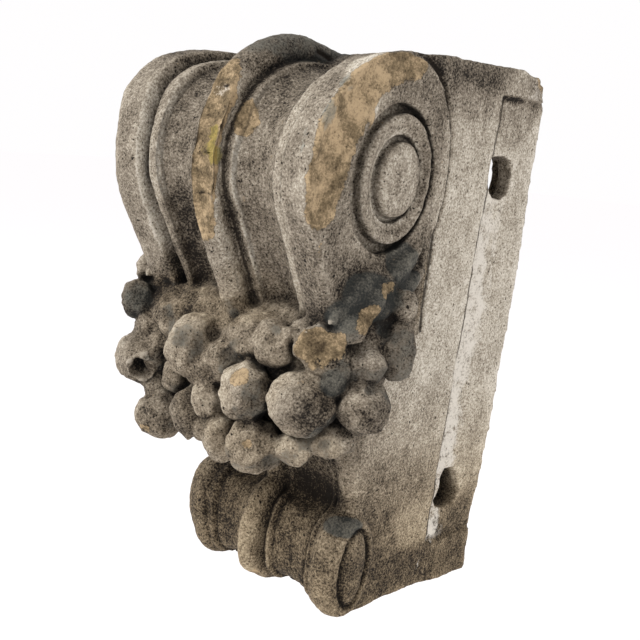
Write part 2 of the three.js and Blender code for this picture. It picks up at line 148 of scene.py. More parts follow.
# Fruit of the swag: kind, place, radius, half length, direction of the crown
FRUIT = [
    ("bud", (-163, -304, 342), 14, 22, (0.2, 0, 1)),
    ("plum", (-156, -319, 311), 20, 23, (0, 0, 1)),
    ("bud", (-138, -316, 281), 18, 20, (0, 0, 1)),
    ("pomegranate", (-138, -325, 247), 30, 32, (0.85, -0.6, -0.15)),
    ("apple", (-98, -323, 191), 30, 29, (-0.3, -0.6, 0.7)),
    ("bud", (-112, -318, 216), 17, 21, (0.3, 0, 1)),
    ("egg", (-38, -331, 284), 28, 37, (0.35, 0.1, 0.9)),
    ("bud", (-92, -308, 300), 26, 40, (1, 0, -0.2)),
    ("bud", (-112, -320, 257), 18, 26, (0.2, 0, 1)),
    ("bud", (-76, -322, 239), 16, 21, (0.3, 0, 1)),
    ("bud", (-12, -318, 266), 26, 46, (1, 0, 0.6)),
    ("bud", (32, -308, 300), 26, 48, (1, 0, 0.3)),
    ("pod", (-42, -326, 206), 22, 33, (0.15, -0.2, -1)),
    ("bud", (-20, -322, 196), 15, 18, (0, 0, 1)),
    ("plum", (-10, -328, 229), 19, 22, (0, 0, 1)),
    ("apple", (53, -333, 254), 31, 28, (-0.1, -1, 0.05)),
    ("plum", (79, -322, 306), 23, 22, (0.35, -0.8, 0.5)),
    ("bud", (97, -320, 319), 8, 11, (0.6, -0.3, 0.8)),
    ("ball", (117, -316, 255), 34, 32, (0.3, -0.4, 0.8)),
    ("pod", (139, -298, 277), 14, 24, (0.5, 0.3, 0.8)),
    ("ball", (160, -275, 255), 26, 27, (0.5, 0, 0.8)),
    ("ball", (158, -271, 298), 18, 18, (0.4, -0.4, 0.8)),
    ("pear", (165, -237, 313), 19, 33, (0, 0.1, 1)),
    ("bud", (168, -236, 355), 13, 17, (0, 0, 1)),
    ("nut", (5, -320, 189), 20, 29, (0.1, -0.2, 1)),
    ("nut", (60, -324, 197), 29, 30, (1, -0.1, 0.5)),
    ("nut", (104, -308, 205), 18, 20, (1, 0, 0.2)),
    ("nut", (131, -287, 216), 18, 25, (0.8, 0.5, 0.2)),
    ("ball", (-160, -270, 256), 26, 26, (-0.5, 0, 0.8)),
    ("ball", (-158, -266, 302), 19, 19, (-0.4, -0.4, 0.8)),
    ("pear", (-158, -232, 310), 17, 31, (0, 0.1, 1)),
    ("nut", (-142, -280, 212), 19, 25, (0.8, -0.5, 0.2)),
    ("bud", (-160, -230, 354), 12, 15, (0, 0, 1)),
    ("pod", (116, -310, 326), 10, 27, (1, 0.1, -0.1)),
]
CURL = {
    "at": (126, -304, 311), "r": 26, "half": 31, "along": (0.75, -0.45, 0.2),
    "break_at": (131, -321, 307), "break_faces": (0.6, -0.78, -0.1),
}
# Lobes of the leaf on each side panel: base, tip, half width, thickness, lift of the tip
LEAF_LOBES = [
    ((-306, 336), (-190, 416), 15, 15, 4),
    ((-300, 330), (-186, 390), 15, 18, 7),
    ((-290, 322), (-192, 362), 17, 15, 5),
    ((-318, 338), (-244, 402), 15, 13, 2),
    ((-290, 334), (-252, 384), 14, 19, 11),
    ((-310, 322), (-270, 354), 17, 21, 13),
    ((-262, 318), (-205, 338), 12, 14, 4),
]
# How each kind narrows towards its crown, the depth of its dimple, its point, and how wrinkled it is, in parts
SLIM = {"apple": 0.1, "pear": 0.42, "egg": 0.18, "pod": 0.25}
DIMPLE = {"apple": 0.36, "ball": 0.06, "plum": 0.14}
POINT = {"pod": 0.7, "bud": 0.1}
WRINKLE = {"nut": 0.11, "egg": 0.08, "apple": 0.07, "plum": 0.08, "pomegranate": 0.08, "ball": 0.05, "bud": 0.08}
FRUIT_SIDES = 32
FRUIT_STEPS = 20

VOXEL = 1.8 * MM
TRIANGLES = 196000
HIDDEN_SHARE = 0.06
# The top of the scroll sinks on the left: depth, and where the sinking starts and is full
SUNK = {"by": 4, "left": (40, 150), "up": (480, 600), "front": (150, 230)}
# Unevenness of the whole skin: size of the lumps, height
LUMPS = [(34, 2.2), (7, 1.5)]
# How sharply the clay turns where its arrises start to be nibbled and are nibbled most, and how deep
ARRIS_TURN = (0.06, 0.2)
NIBBLE = 4.5
# Where the swag and the lower roll start and end: heights, and distances in front of the wall
SWAG = {"height": (165, 185, 335, 350), "front": (222, 232)}
FOOT = {"top": (118, 135), "front": (186, 196)}
# Soft facets of the fruit: size, depth, and the share of the size at which they neither rise nor sink
FACET = 17
FACET_DEPTH = 7
FACET_EVEN = 0.45
# Grooves round the lower roll: distance from the middle, depth
FOOT_LINES = [(19, 3.5), (30, 2), (97, 2.5)]
FOOT_LINE_HALF = 2.2
# How far behind the panel's rear edge its groove runs, how far behind the rim's middle it starts, and where the
# strip behind the leaf ends above
RIM_LINE = 10.5
RIM_LINE_FROM = 15
STRIP_TOP = (405, 415)
# Distance given to points that no line runs near
NO_LINE = 99
# Places that sagged or swelled in drying, and mortar left in the rebate: middle, half sizes, shift or swelling
SAGS = [
    ((-145, -325, 565), (60, 70, 60), (-4, -5, 2.5)),
    ((-142, -338, 395), (46, 60, 75), (-6, -2, 0)),
    ((-118, -235, 80), (40, 50, 52), (-6, -1, 1)),
    ((0, -225, 0), (112, 60, 34), (0, 0, 9)),
    ((112, -215, 0), (22, 50, 25), (0, 0, -4)),
    ((10, -290, 602), (26, 75, 26), 1.5),
    ((140, -250, 605), (40, 60, 30), (0, 0, -3)),
    ((152, -10, 596), (30, 40, 30), (-3, -3, -5)),
    ((158, -2, 580), (16, 22, 26), (-5, -2, 0)),
    ((132, -20, 320), (22, 60, 170), (5, 0, 0)),
    ((-132, -20, 320), (22, 60, 170), (-5, 0, 0)),
    ((118, -20, 165), (22, 60, 95), (5, 0, 0)),
    ((110, -25, 0), (20, 60, 30), (2, 0, -3)),
]
# Heights and the rear end of the clay pressed in between the fruit, and how often it is smoothed
FILLED = {"from": 160, "to": 330, "back": -225, "times": 10}
# Reach of the rays that find overhangs and crevices, where dirt and painted shade darken the clay
SHELTER_REACH = 40
CREVICE_REACH = 9
SHELTER_RAYS = 12


def point(x, y, z):
    return Vector((x, y, z - MOUNT_HEIGHT)) * MM


def half_width(z):
    return HALF_FOOT + (HALF_TOP - HALF_FOOT) * z / HEIGHT


BLOCK_HALF = half_width(GAUGE_HEIGHT)
BAND_HALF = BLOCK_HALF + PANEL_PROUD


def metres(sizes):
    return [size * MM for size in sizes]


def smooth_step(value, low, high):
    t = np.clip((value - low) / (high - low), 0, 1)
    return t * t * (3 - 2 * t)


def between(value, low, low_end, high, high_end):
    """Rises from 0 to 1 over one stretch and falls again over another."""
    return smooth_step(value, low, low_end) * (1 - smooth_step(value, high, high_end))


# Modelling by hand


def deselect():
    bpy.ops.object.select_all(action="DESELECT")


def select_mesh():
    bpy.ops.mesh.select_all(action="SELECT")


def set_mode(mode):
    bpy.ops.object.mode_set(mode=mode)


def extrude(shift):
    bpy.ops.mesh.extrude_region_move(TRANSFORM_OT_translate={"value": shift})


def draw(points):
    """Draws a line of edges from point to point in a new mesh, and stays in edit mode."""
    deselect()
    bpy.ops.mesh.primitive_plane_add(size=MM, enter_editmode=True, location=(0, 0, 0))
    bpy.ops.mesh.merge(type="CENTER")
    bpy.ops.transform.translate(value=points[0])
    for here, there in zip(points, points[1:]):
        bpy.ops.mesh.extrude_vertices_move(TRANSFORM_OT_translate={"value": there - here})


def fill_outline():
    """Joins the two ends of a drawn line and fills the outline."""
    mesh = bmesh.from_edit_mesh(bpy.context.object.data)
    for vertex in mesh.verts:
        vertex.select_set(len(vertex.link_edges) == 1)
    mesh.select_flush_mode()
    bpy.ops.mesh.edge_face_add()
    select_mesh()
    bpy.ops.mesh.edge_face_add()


def close_edit(name):
    """Turns all faces outwards and leaves edit mode."""
    select_mesh()
    bpy.ops.mesh.normals_make_consistent(inside=False)
    set_mode("OBJECT")
    piece = bpy.context.object
    piece.name = name
    return piece


def taper(piece):
    """Narrows a part towards the foot, as the block does."""
    for vertex in piece.data.vertices:
        vertex.co.x *= half_width(vertex.co.z / MM + MOUNT_HEIGHT) / BLOCK_HALF
    return piece


def slab(name, outline, inner, outer):
    """An outline in side view, as (y, z), made a slab from one x to another."""
    draw([point(inner, y, z) for y, z in outline])
    fill_outline()
    extrude(((outer - inner) * MM, 0, 0))
    return taper(close_edit(name))


def on_left(piece):
    """The same part on the left side."""
    deselect()
    piece.select_set(True)
    bpy.context.view_layer.objects.active = piece
    bpy.ops.object.duplicate()
    set_mode("EDIT")
    select_mesh()
    bpy.ops.transform.resize(value=(-1, 1, 1), center_override=(0, 0, 0))
    return close_edit(piece.name + "_left")


def with_left(piece):
    return piece, on_left(piece)


def apply_modifier(piece, kind, **settings):
    bpy.context.view_layer.objects.active = piece
    bpy.ops.object.modifier_add(type=kind)
    modifier = piece.modifiers[-1]
    for name, value in settings.items():
        setattr(modifier, name, value)
    bpy.ops.object.modifier_apply(modifier=modifier.name)


def cut(piece, *tools):
    for tool in tools:
        apply_modifier(piece, "BOOLEAN", operation="DIFFERENCE", solver="EXACT", object=tool)
        bpy.data.objects.remove(tool)


def roughen(piece, grain, height):
    """Makes a surface uneven, with lumps of a given size and height in millimetres."""
    lumps = bpy.data.textures.new("lumps", "CLOUDS")
    lumps.noise_scale = grain * MM
    apply_modifier(piece, "DISPLACE", texture=lumps, texture_coords="LOCAL", strength=height * MM)


def heading(rail, i):
    before = rail[max(i - 1, 0)]
    after = rail[min(i + 1, len(rail) - 1)]
    return math.atan2(after.z - before.z, after.y - before.y)


def follow(rail):
    """Extrudes the selected section along a rail in side view, turning it as the rail turns."""
    for i in range(1, len(rail)):
        extrude(rail[i] - rail[i - 1])
        turn = math.remainder(heading(rail, i) - heading(rail, i - 1), 2 * math.pi)
        bpy.ops.transform.rotate(value=-turn, orient_axis="X", center_override=rail[i])


def rings(name, middle, first, steps):
    """A turned part on the right side, ring by ring: each has half sizes along y and z, a middle and a height."""
    ry, rz, y, out = first
    deselect()
    bpy.ops.mesh.primitive_circle_add(vertices=OVAL_SIDES, radius=1, fill_type="NGON", enter_editmode=True)
    bpy.ops.transform.rotate(value=math.pi / 2, orient_axis="Y", center_override=(0, 0, 0))
    bpy.ops.transform.resize(value=(1, ry * MM, rz * MM), center_override=(0, 0, 0))
    place = point(out, y, middle)
    bpy.ops.transform.translate(value=place)
    for next_ry, next_rz, y, out in steps:
        there = point(out, y, middle)
        extrude(there - place)
        bpy.ops.transform.resize(value=(1, next_ry / ry, next_rz / rz), center_override=there)
        ry, rz, place = next_ry, next_rz, there
    piece = close_edit(name)
    for vertex in piece.data.vertices:
        vertex.co.x += half_width(vertex.co.z / MM + MOUNT_HEIGHT) * MM
    return piece


# Side view of the face


def arc(centre_y, centre_z, ry, rz, start, stop, square=1):
    """Part of an oval, squarer with a smaller power."""
    count = round(abs(stop - start) / ARC_STEP)
    angles = [math.radians(start + (stop - start) * i / count) for i in range(count + 1)]
    turns = [(math.cos(a), math.sin(a)) for a in angles]
    swell = [[math.copysign(abs(t) ** square, t) for t in turn] for turn in turns]
    return [(centre_y + ry * c, centre_z + rz * s) for c, s in swell]


def bend(a, b, c, d):
    knots = [Vector((0, *p)) for p in (a, b, c, d)]
    return [(p.y, p.z) for p in geometry.interpolate_bezier(*knots, BEND_STEPS)]


def face_line():
    """The console's face from the flat top round the scroll, the neck and the roll, as (y, z)."""
    lean = math.radians(NECK["lean"])
    down = Vector((math.sin(lean), -math.cos(lean)))
    neck = Vector((NECK["y"], NECK["z"]))
    scroll = arc(SCROLL["y"], SCROLL["z"], SCROLL["r"], SCROLL["r"], 90, SCROLL["end"])
    roll = arc(ROLL["y"], ROLL["z"], ROLL["ry"], ROLL["rz"], ROLL["from"], ROLL["to"], ROLL["square"])
    along_roll = (Vector(roll[1]) - Vector(roll[0])).normalized()
    into_roll = Vector(roll[0]) - along_roll * ROLL["lead"]
    belly = bend(scroll[-1], SCROLL["leave"], neck - down * NECK["before"], neck)
    throat = bend(neck, neck + down * NECK["after"], into_roll, roll[0])
    return [(y, HEIGHT) for y in FACE_FLAT] + scroll + belly[1:] + throat[1:] + roll[1:]


def set_back(line, depth_at):
    """A side view line moved into the block by a depth that depends on the place."""
    moved = []
    for i, (y, z) in enumerate(line):
        ahead = Vector(line[min(i + 1, len(line) - 1)]) - Vector(line[max(i - 1, 0)])
        ahead.normalize()
        depth = depth_at(y, z)
        moved.append((y - ahead.y * depth, z + ahead.x * depth))
    return moved


FACE = face_line()


# Parts of the block


def strap(name, rail, fillet, fillet_depth, flute, edge, floor, lip, groove, rounding, depth):
    """A stretch of the face with its flutes, lips, grooves and bands, swept down the side view."""
    half = [(fillet, fillet_depth)]
    for i in range(FLUTE_STEPS + 1):
        t = i / FLUTE_STEPS
        half.append((fillet + 1 + (flute - fillet - 2) * t, edge + (floor - edge) * math.sin(math.pi * t)))
    lip_depth = min(LIP_DEPTH, edge - 4)
    groove_depth = min(GROOVE_DEPTH, edge)
    half += [(flute, lip_depth + 1.5), (flute + 2, lip_depth), (lip - 1, lip_depth), (lip, lip_depth + 1)]
    half += [(lip + 0.5, groove_depth), (groove - 0.5, groove_depth), (groove, 3), (groove + 3, 0.5)]
    half += [(BAND_HALF - rounding - 8, -BAND_CROWN / 2), (BAND_HALF - rounding, 0.5)]
    half += [(BAND_HALF - rounding / 3, 2 + rounding / 9), (BAND_HALF, 3.5 + rounding / 5), (BAND_HALF, depth)]
    outline = [(-across, down) for across, down in reversed(half)] + half
    ahead = Vector(rail[1]) - Vector(rail[0])
    ahead.normalize()
    y, z = rail[0]
    draw([point(across, y - ahead.y * down, z + ahead.x * down) for across, down in outline])
    fill_outline()
    follow([point(0, *p) for p in rail])
    piece = taper(close_edit(name))
    cut(piece, *with_left(slab("shoulder", shoulder(), BLOCK_HALF + TRIM["step"], BAND_HALF + PAST)))
    cut(piece, *with_left(slab("neck", neck(), BLOCK_HALF + TRIM["step"], BAND_HALF + PAST)))
    return piece


def straps():
    """The face above and below the swag: its bands are narrower on the lower roll."""
    first = next(i for i, (_, z) in enumerate(FACE) if z < SWAG_MIDDLE)
    return [strap("upper_strap", FACE[:first + 1], **UPPER), strap("lower_strap", FACE[first - 1:], **LOWER)]


def core_depth(y, z):
    """Depth of the block behind the face."""
    return CORE_ABOVE if z > SWAG_MIDDLE else CORE_BELOW


def rim_edge(start, count):
    """The volute's rim from an angle up to its top, as (y, z)."""
    turns = [math.radians(start + (90 - start) * i / count) for i in range(count + 1)]
    return [(RIM["y"] + RIM["ry"] * math.cos(a), RIM["z"] + RIM["rz"] * math.sin(a)) for a in turns]


def shoulder():
    """Above and behind the volute's rim the sides are flush with the block."""
    return [(TRIM["back"], RIM["z"])] + rim_edge(0, 12) + [(RIM["y"], HEIGHT + PAST), (TRIM["back"], HEIGHT + PAST)]


def neck():
    """Below the panel the sides are flush with the block."""
    bottom, top = TRIM["bottom"], PANEL_FOOT[1]
    return [(TRIM["front"], bottom), (TRIM["back"], bottom), (TRIM["back"], top), (TRIM["front"], top)]


def bead_depth(y, z):
    """How far the middle of the bead lies below the bands: it stands proud on the front of the lower roll."""
    if z > SCROLL["z"]:
        return BEAD["sink"] + BEAD["rise"] * (1 - smooth_step(-y, -BEAD["rise_from"], -BEAD["rise_to"]))
    rolled = 1 - smooth_step(z, ROLL["z"], NECK["z"])
    under = 1 - smooth_step(z, BEAD_FOOT["from"], BEAD_FOOT["to"])
    foot = BEAD_FOOT["sink"] + (BEAD_FOOT["under"] - BEAD_FOOT["sink"]) * under
    return BEAD["sink"] + (foot - BEAD["sink"]) * rolled


def bead():
    rail = [point(0, *p) for p in set_back(FACE[:-1], bead_depth)]
    deselect()
    bpy.ops.mesh.primitive_circle_add(
        vertices=BEAD["sides"], radius=BEAD["r"] * MM, fill_type="NGON", enter_editmode=True
    )
    bpy.ops.transform.rotate(value=math.pi / 2, orient_axis="X", center_override=(0, 0, 0))
    bpy.ops.transform.translate(value=rail[0])
    follow(rail)
    return taper(close_edit("bead"))


def block():
    """The body behind the face, hollow at the wall, with rebated rear edges and anchor holes."""
    core = [p for p in set_back(FACE, core_depth) if p[0] <= SCROLL["y"] or p[1] < SCROLL["z"]]
    outline = [(0, 0), (0, HEIGHT), (TOP_FLAT_END, HEIGHT)] + core[:-1] + [(ROLL["y"], 0)]
    body = slab("block", outline, -BLOCK_HALF, BLOCK_HALF)
    outside = BAND_HALF + PAST
    seat = BLOCK_HALF - REBATE["depth"]
    inner, foot, top = REBATE["inner"], REBATE["foot"], REBATE["top"]
    rebate = [(inner, foot), (PAST, foot), (PAST, top), (inner, top)]
    cut(body, *with_left(slab("rebate", rebate, seat, outside)))
    cut(body, *with_left(slab("hole", ANCHOR_HOLE, HOLLOW_HALF - PAST, outside)))
    inside = slab("hole_inside", HOLE_INSIDE["outline"], HOLLOW_HALF - PAST, BLOCK_HALF - HOLE_INSIDE["wall"])
    cut(body, *with_left(inside))
    cut(body, *with_left(slab("pocket", ANCHOR_POCKET, seat - POCKET_DEPTH, outside)))
    cut(body, *with_left(slab("well", oval(**WELL), BLOCK_HALF + WELL_FLOOR, outside)))
    cut(body, slab("hollow", HOLLOW, -HOLLOW_HALF, HOLLOW_HALF))
    return body


def oval(y, z, ry, rz):
    turns = [2 * math.pi * i / OVAL_SIDES for i in range(OVAL_SIDES)]
    return [(y + ry * math.cos(a), z + rz * math.sin(a)) for a in turns]


def volute_panel():
    """Raised panel on the right side with the volute's rim, open where the disc sits, and a scored line."""
    inner = set_back(FACE, core_depth)
    front = [p for p in inner if p[0] < RIM["y"] and p[1] > PANEL_FOOT[1]]
    outline = [PANEL_FOOT] + rim_edge(RIM["from"], 16) + front + [(front[-1][0], PANEL_FOOT[1])]
    panel = slab("panel", outline, BLOCK_HALF - PAST, BAND_HALF)
    cut(panel, slab("well", oval(**WELL), BLOCK_HALF - 2 * PAST, BAND_HALF + PAST))
    cut(panel, slab("score", SCORE, BAND_HALF - SCORE_DEPTH, BAND_HALF + PAST))
    return panel


def side_at(z, half):
    return half * half_width(z) / BLOCK_HALF


def volute_disc():
    return rings("disc", WELL["z"], VOLUTE_RINGS[0], VOLUTE_RINGS[1:])


def roll_end():
    steps = [(ROLL["ry"] - step, ROLL["rz"] - step, ROLL["y"], out) for step, out in ROLL_RINGS]
    return rings("roll_end", ROLL["z"], steps[0], steps[1:])


# Swag


def swag_bed():
    """The thick bed under the fruit, carried round the front and both sides and climbing to its ends."""
    route = []
    knots = [Vector((x, y, 0)) for x, y in BED_ROUTE]
    for i in range(1, len(knots)):
        before = knots[max(i - 2, 0)]
        after = knots[min(i + 1, len(knots) - 1)]
        lead = (knots[i] - before) / 6
        trail = (after - knots[i - 1]) / 6
        here, there = knots[i - 1], knots[i]
        span = geometry.interpolate_bezier(here, here + lead, there - trail, there, BED["steps"])
        route += span[1 if route else 0:]
    start = point(route[0].x, route[0].y, BED["height"])
    ahead = (route[1] - route[0]).normalized()
    out = Vector((ahead.y, -ahead.x, 0))
    draw([start + (out * depth + UP * up) * MM for depth, up in BED_SECTION])
    fill_outline()
    angle = math.atan2(ahead.y, ahead.x)
    for i in range(1, len(route)):
        there = point(route[i].x, route[i].y, BED["height"])
        extrude(there - start)
        ahead = route[min(i + 1, len(route) - 1)] - route[i - 1]
        turned = math.atan2(ahead.y, ahead.x)
        turn = math.remainder(turned - angle, 2 * math.pi)
        bpy.ops.transform.rotate(value=-turn, orient_axis="Z", center_override=there)
        start, angle = there, turned
    bed = close_edit("swag_bed")
    for vertex in bed.data.vertices:
        vertex.co.z += BED["climb"] * max(0, vertex.co.y - BED["front"] * MM)
    return bed


def fruit_outline(kind, radius, half):
    """Half outline of a fruit from foot to crown, as (across, along)."""
    line = []
    for i in range(FRUIT_STEPS + 1):
        turn = math.pi * i / FRUIT_STEPS
        along = -math.cos(turn)
        width = 1 - SLIM.get(kind, 0) * smooth_step(along, -0.1, 1)
        across = math.sin(turn) ** (1 + POINT.get(kind, 0)) * width
        dimple = DIMPLE.get(kind, 0) * math.exp(-((across / 0.3) ** 2)) if along > 0 else 0
        line.append((radius * across, half * (along - dimple)))
    line[0] = (0, line[0][1])
    line[-1] = (0, line[-1][1])
    if kind == "pomegranate":
        lip = [(0.5, 0.9), (0.58, 1.06), (0.46, 1.08), (0.36, 0.7), (0, 0.55)]
        line = [p for p in line if p[1] < 0.82 * half] + [(a * radius, b * half) for a, b in lip]
    if kind == "pear":
        stalk = [(0.17, 1.04), (0.15, 1.16), (0, 1.18)]
        line = [p for p in line if p[1] < 0.97 * half] + [(a * radius, b * half) for a, b in stalk]
    return line


def fruit(kind, place, radius, half, crown):
    draw([Vector((across, 0, along)) * MM for across, along in fruit_outline(kind, radius, half)])
    select_mesh()
    bpy.ops.mesh.spin(steps=FRUIT_SIDES, angle=2 * math.pi, center=(0, 0, 0), axis=(0, 0, 1))
    select_mesh()
    bpy.ops.mesh.remove_doubles(threshold=0.01 * MM)
    piece = close_edit(kind)
    turn = Vector(crown).to_track_quat("Z", "Y").to_matrix().to_4x4()
    piece.matrix_world = Matrix.Translation(point(*place)) @ turn
    bpy.ops.object.transform_apply(location=True, rotation=True, scale=True)
    if kind in WRINKLE:
        roughen(piece, radius * 0.5, WRINKLE[kind] * 3 * radius)
    return piece


def broken_curl():
    """A leaf curled over the swag's right shoulder, its end broken off flat."""
    piece = fruit("bud", CURL["at"], CURL["r"], CURL["half"], CURL["along"])
    roughen(piece, CURL["r"] * 0.6, CURL["r"] * 0.35)
    set_mode("EDIT")
    select_mesh()
    bpy.ops.mesh.bisect(
        plane_co=point(*CURL["break_at"]), plane_no=CURL["break_faces"], use_fill=True, clear_outer=True
    )
    return close_edit("curl")


def leaf_lobe(base, tip, half_wide, thick, lift):
    """A lobe of the leaf on the right panel: a flat pod from base to tip, given as (y, z)."""
    middle = ((base[0] + tip[0]) / 2, (base[1] + tip[1]) / 2)
    run = Vector((0, tip[0] - base[0], tip[1] - base[1]))
    piece = fruit("pod", (0, 0, MOUNT_HEIGHT), 1, run.length / 2, (0, 0, 1))
    wide = run.cross(ACROSS)
    lie = Matrix((ACROSS, wide.normalized(), run.normalized())).transposed().to_4x4()
    tilt = Matrix.Rotation(math.atan2(lift, run.length), 4, wide)
    place = Matrix.Translation(point(side_at(middle[1], BAND_HALF) + lift / 2, *middle))
    piece.matrix_world = place @ tilt @ lie @ Matrix.Diagonal((thick, half_wide, 1, 1))
    bpy.ops.object.transform_apply(location=True, rotation=True, scale=True)
    return piece


def join(parts):
    deselect()
    for part in parts:
        part.select_set(True)
    bpy.context.view_layer.objects.active = parts[0]
    bpy.ops.object.join()
    return bpy.context.object


def clay_body():
    """All parts of the block fused into one body."""
    parts = [block(), *straps(), bead(), swag_bed()]
    parts += [*with_left(volute_panel()), *with_left(volute_disc()), *with_left(roll_end())]
    parts += [fruit(*row) for row in FRUIT] + [broken_curl()]
    parts += [piece for row in LEAF_LOBES for piece in with_left(leaf_lobe(*row))]
    body = join(parts)
    body.name = "corbel_clay"
    apply_modifier(body, "REMESH", mode="VOXEL", voxel_size=VOXEL)
    apply_modifier(body, "SMOOTH", factor=0.5, iterations=1)
    return body


# Wear, stains and painted light and shade


def positions(body):
    """Places of all points, in millimetres above the block's underside."""
    flat = np.empty(len(body.data.vertices) * 3)
    body.data.vertices.foreach_get("co", flat)
    return flat.reshape(-1, 3) / MM + (0, 0, MOUNT_HEIGHT)


def move_to(body, places):
    body.data.vertices.foreach_set("co", ((places - (0, 0, MOUNT_HEIGHT)) * MM).ravel())
    body.data.update()


def grain(places, size, seed=0):
    """Smooth random values from about -1 to 1, with lumps of one size."""
    return np.array([noise.noise(Vector(p)) for p in places / size + seed * 7.3])


def smoothed(values, edges, times):
    """Values shared out with the neighbouring points."""
    ends = edges.ravel()
    others = edges[::-1].ravel()
    count = np.bincount(ends, minlength=len(values)) + 1
    for _ in range(times):
        values = (values + np.bincount(ends, values[others], len(values))) / count
    return values


def surface(body):
    """Normals and edges of the body's mesh."""
    normals = np.empty(len(body.data.vertices) * 3, np.float32)
    body.data.vertex_normals.foreach_get("vector", normals)
    edges = np.empty(len(body.data.edges) * 2, np.int32)
    body.data.edges.foreach_get("vertices", edges)
    return normals.reshape(-1, 3).astype(float), edges.reshape(-1, 2).T


def ridges(places, normals, edges):
    """How sharply the surface turns outwards at each point."""
    ends = edges.ravel()
    others = edges[::-1].ravel()
    step = places[others] - places[ends]
    fall = np.einsum("ij,ij->i", normals[ends], step) / np.maximum(np.linalg.norm(step, axis=1), 1e-6)
    count = np.maximum(np.bincount(ends, minlength=len(places)), 1)
    return smoothed(np.bincount(ends, -fall, len(places)) / count, edges, 1)


def over_scroll(turn, across, out):
    """A place over the scroll: its angle in side view, its x and its height above the bands."""
    reach, angle = SCROLL["r"] + out, math.radians(turn)
    return across, SCROLL["y"] + reach * math.cos(angle), SCROLL["z"] + reach * math.sin(angle)


ARRIS_BREAK = [
    (92, -5, 12), (108, -8, 16), (125, -14, 18), (140, -18, 19), (160, -20, 21), (180, -19, 20), (197, -12, 12),
]
BREAK_STANDS_OFF = 30
BEAD_BREAK = [(143, 42), (152, 49), (175, 51), (190, 50), (204, 42)]


def arris_break():
    """Balls that break the right band's arris: each has its place round the scroll and the width of its break."""
    chain = []
    for turn, out, half in ARRIS_BREAK:
        _, y, z = over_scroll(turn, 0, out)
        chain.append(((side_at(z, BAND_HALF) + BREAK_STANDS_OFF, y, z), math.hypot(BREAK_STANDS_OFF, half)))
    return chain


# Losses: a chain of balls that bit into the clay, each with a place and a radius, and the roughness of the break
LOSSES = [
    (arris_break(), 2.5),
    ([(over_scroll(t, 0, 47), r) for t, r in BEAD_BREAK], 3),
    ([((35, -347, 537), 14), ((35, -348, 523), 13)], 2),
    ([((172, 20, 630), 57)], 3),
    ([((126, -340, 317), 16), ((152, -327, 315), 18), ((141, -336, 299), 15)], 2.5),
    ([((176, -259, 377), 12.5)], 2),
    ([((176, -287, 347), 14.5)], 2),
]
# Creases and small hollows pressed into the fruit, and how rough they are
CREASE_ROUGH = 0.5
CREASES = [
    [((-104, -350, 214), 3), ((-88, -352, 206), 3.5), ((-80, -348, 196), 2)],
    [((-96, -352, 204), 2), ((-92, -352, 196), 3)],
    [((-76, -347, 210), 3), ((-72, -345, 198), 3)],
    [((74, -345, 322), 2), ((94, -341, 312), 3)],
    [((78, -347, 316), 2), ((96, -343, 306), 3)],
    [((0, -346, 212), 8), ((-4, -344, 204), 6)],
    [((-64, -333, 322), 5), ((-58, -330, 330), 4)],
    [((-28, -360, 302), 5), ((-24, -356, 308), 3)],
    [((22, -342, 206), 3), ((18, -346, 190), 4), ((22, -346, 176), 3)],
]


def depth_outside(places, chain, rough):
    """How far each point lies outside a chain of balls with a rough skin, and the way out of it."""
    low = np.min([np.array(p) - r for p, r in chain], axis=0) - 3 * rough
    high = np.max([np.array(p) + r for p, r in chain], axis=0) + 3 * rough
    near = np.flatnonzero(np.all((places > low) & (places < high), axis=1))
    some = places[near]
    outside = np.full(len(places), 1e3)
    way = np.zeros_like(places)
    best = np.full(len(some), 1e3)
    for (a, ra), (b, rb) in zip(chain, chain[1:] or chain):
        run = np.subtract(b, a)
        t = np.clip((some - a) @ run / max(run @ run, 1e-6), 0, 1)
        off = some - (a + t[:, None] * run)
        length = np.linalg.norm(off, axis=1)
        gap = length - (ra + t * (rb - ra))
        closer = gap < best
        best[closer] = gap[closer]
        way[near[closer]] = off[closer] / length[closer, None]
    skin = grain(some, 24) + 0.5 * grain(some, 9, 1) + 0.25 * grain(some, 4, 2)
    outside[near] = best - rough * skin
    return outside, way


def fill_between(body):
    """Clay pressed in between the fruit fills their creases and beds them in."""
    places = positions(body)
    normals, edges = surface(body)
    _, y, z = places.T
    swag = (z > FILLED["from"]) & (z < FILLED["to"]) & (y < FILLED["back"])
    inside = swag[edges[0]] & swag[edges[1]]
    a, b = edges[:, inside]
    ends = np.concatenate([a, b])
    others = np.concatenate([b, a])
    count = np.maximum(np.bincount(ends, minlength=len(places)), 1)
    for _ in range(FILLED["times"]):
        sums = [np.bincount(ends, places[others, k], len(places)) for k in range(3)]
        step = np.stack(sums, axis=1) / count[:, None] - places
        step[~swag] = 0
        out = np.einsum("ij,ij->i", step, normals)
        places += normals * np.maximum(out, 0)[:, None]
    move_to(body, places)


def break_off(body):
    """Presses the clay out of each loss, on to its broken face."""
    places = positions(body)
    broken = np.zeros(len(places), bool)
    for chain, rough in LOSSES + [(crease, CREASE_ROUGH) for crease in CREASES]:
        outside, way = depth_outside(places, chain, rough)
        lost = outside < 0
        places[lost] -= way[lost] * outside[lost, None]
        broken |= lost
    move_to(body, places)
    group = body.vertex_groups.new(name="broken")
    group.add(np.flatnonzero(broken).tolist(), 1, "REPLACE")
    apply_modifier(body, "SMOOTH", vertex_group="broken", factor=0.5, iterations=3)
    body.vertex_groups.clear()


def in_swag(y, z):
    return between(z, *SWAG["height"]) * smooth_step(-y, *SWAG["front"])


def on_foot(y, z):
    return (1 - smooth_step(z, *FOOT["top"])) * smooth_step(-y, *FOOT["front"])


def ring(places, oval):
    """Distance out from an oval seen from the side, as a part of its size."""
    return np.hypot((places[:, 1] - oval["y"]) / oval["ry"], (places[:, 2] - oval["z"]) / oval["rz"])


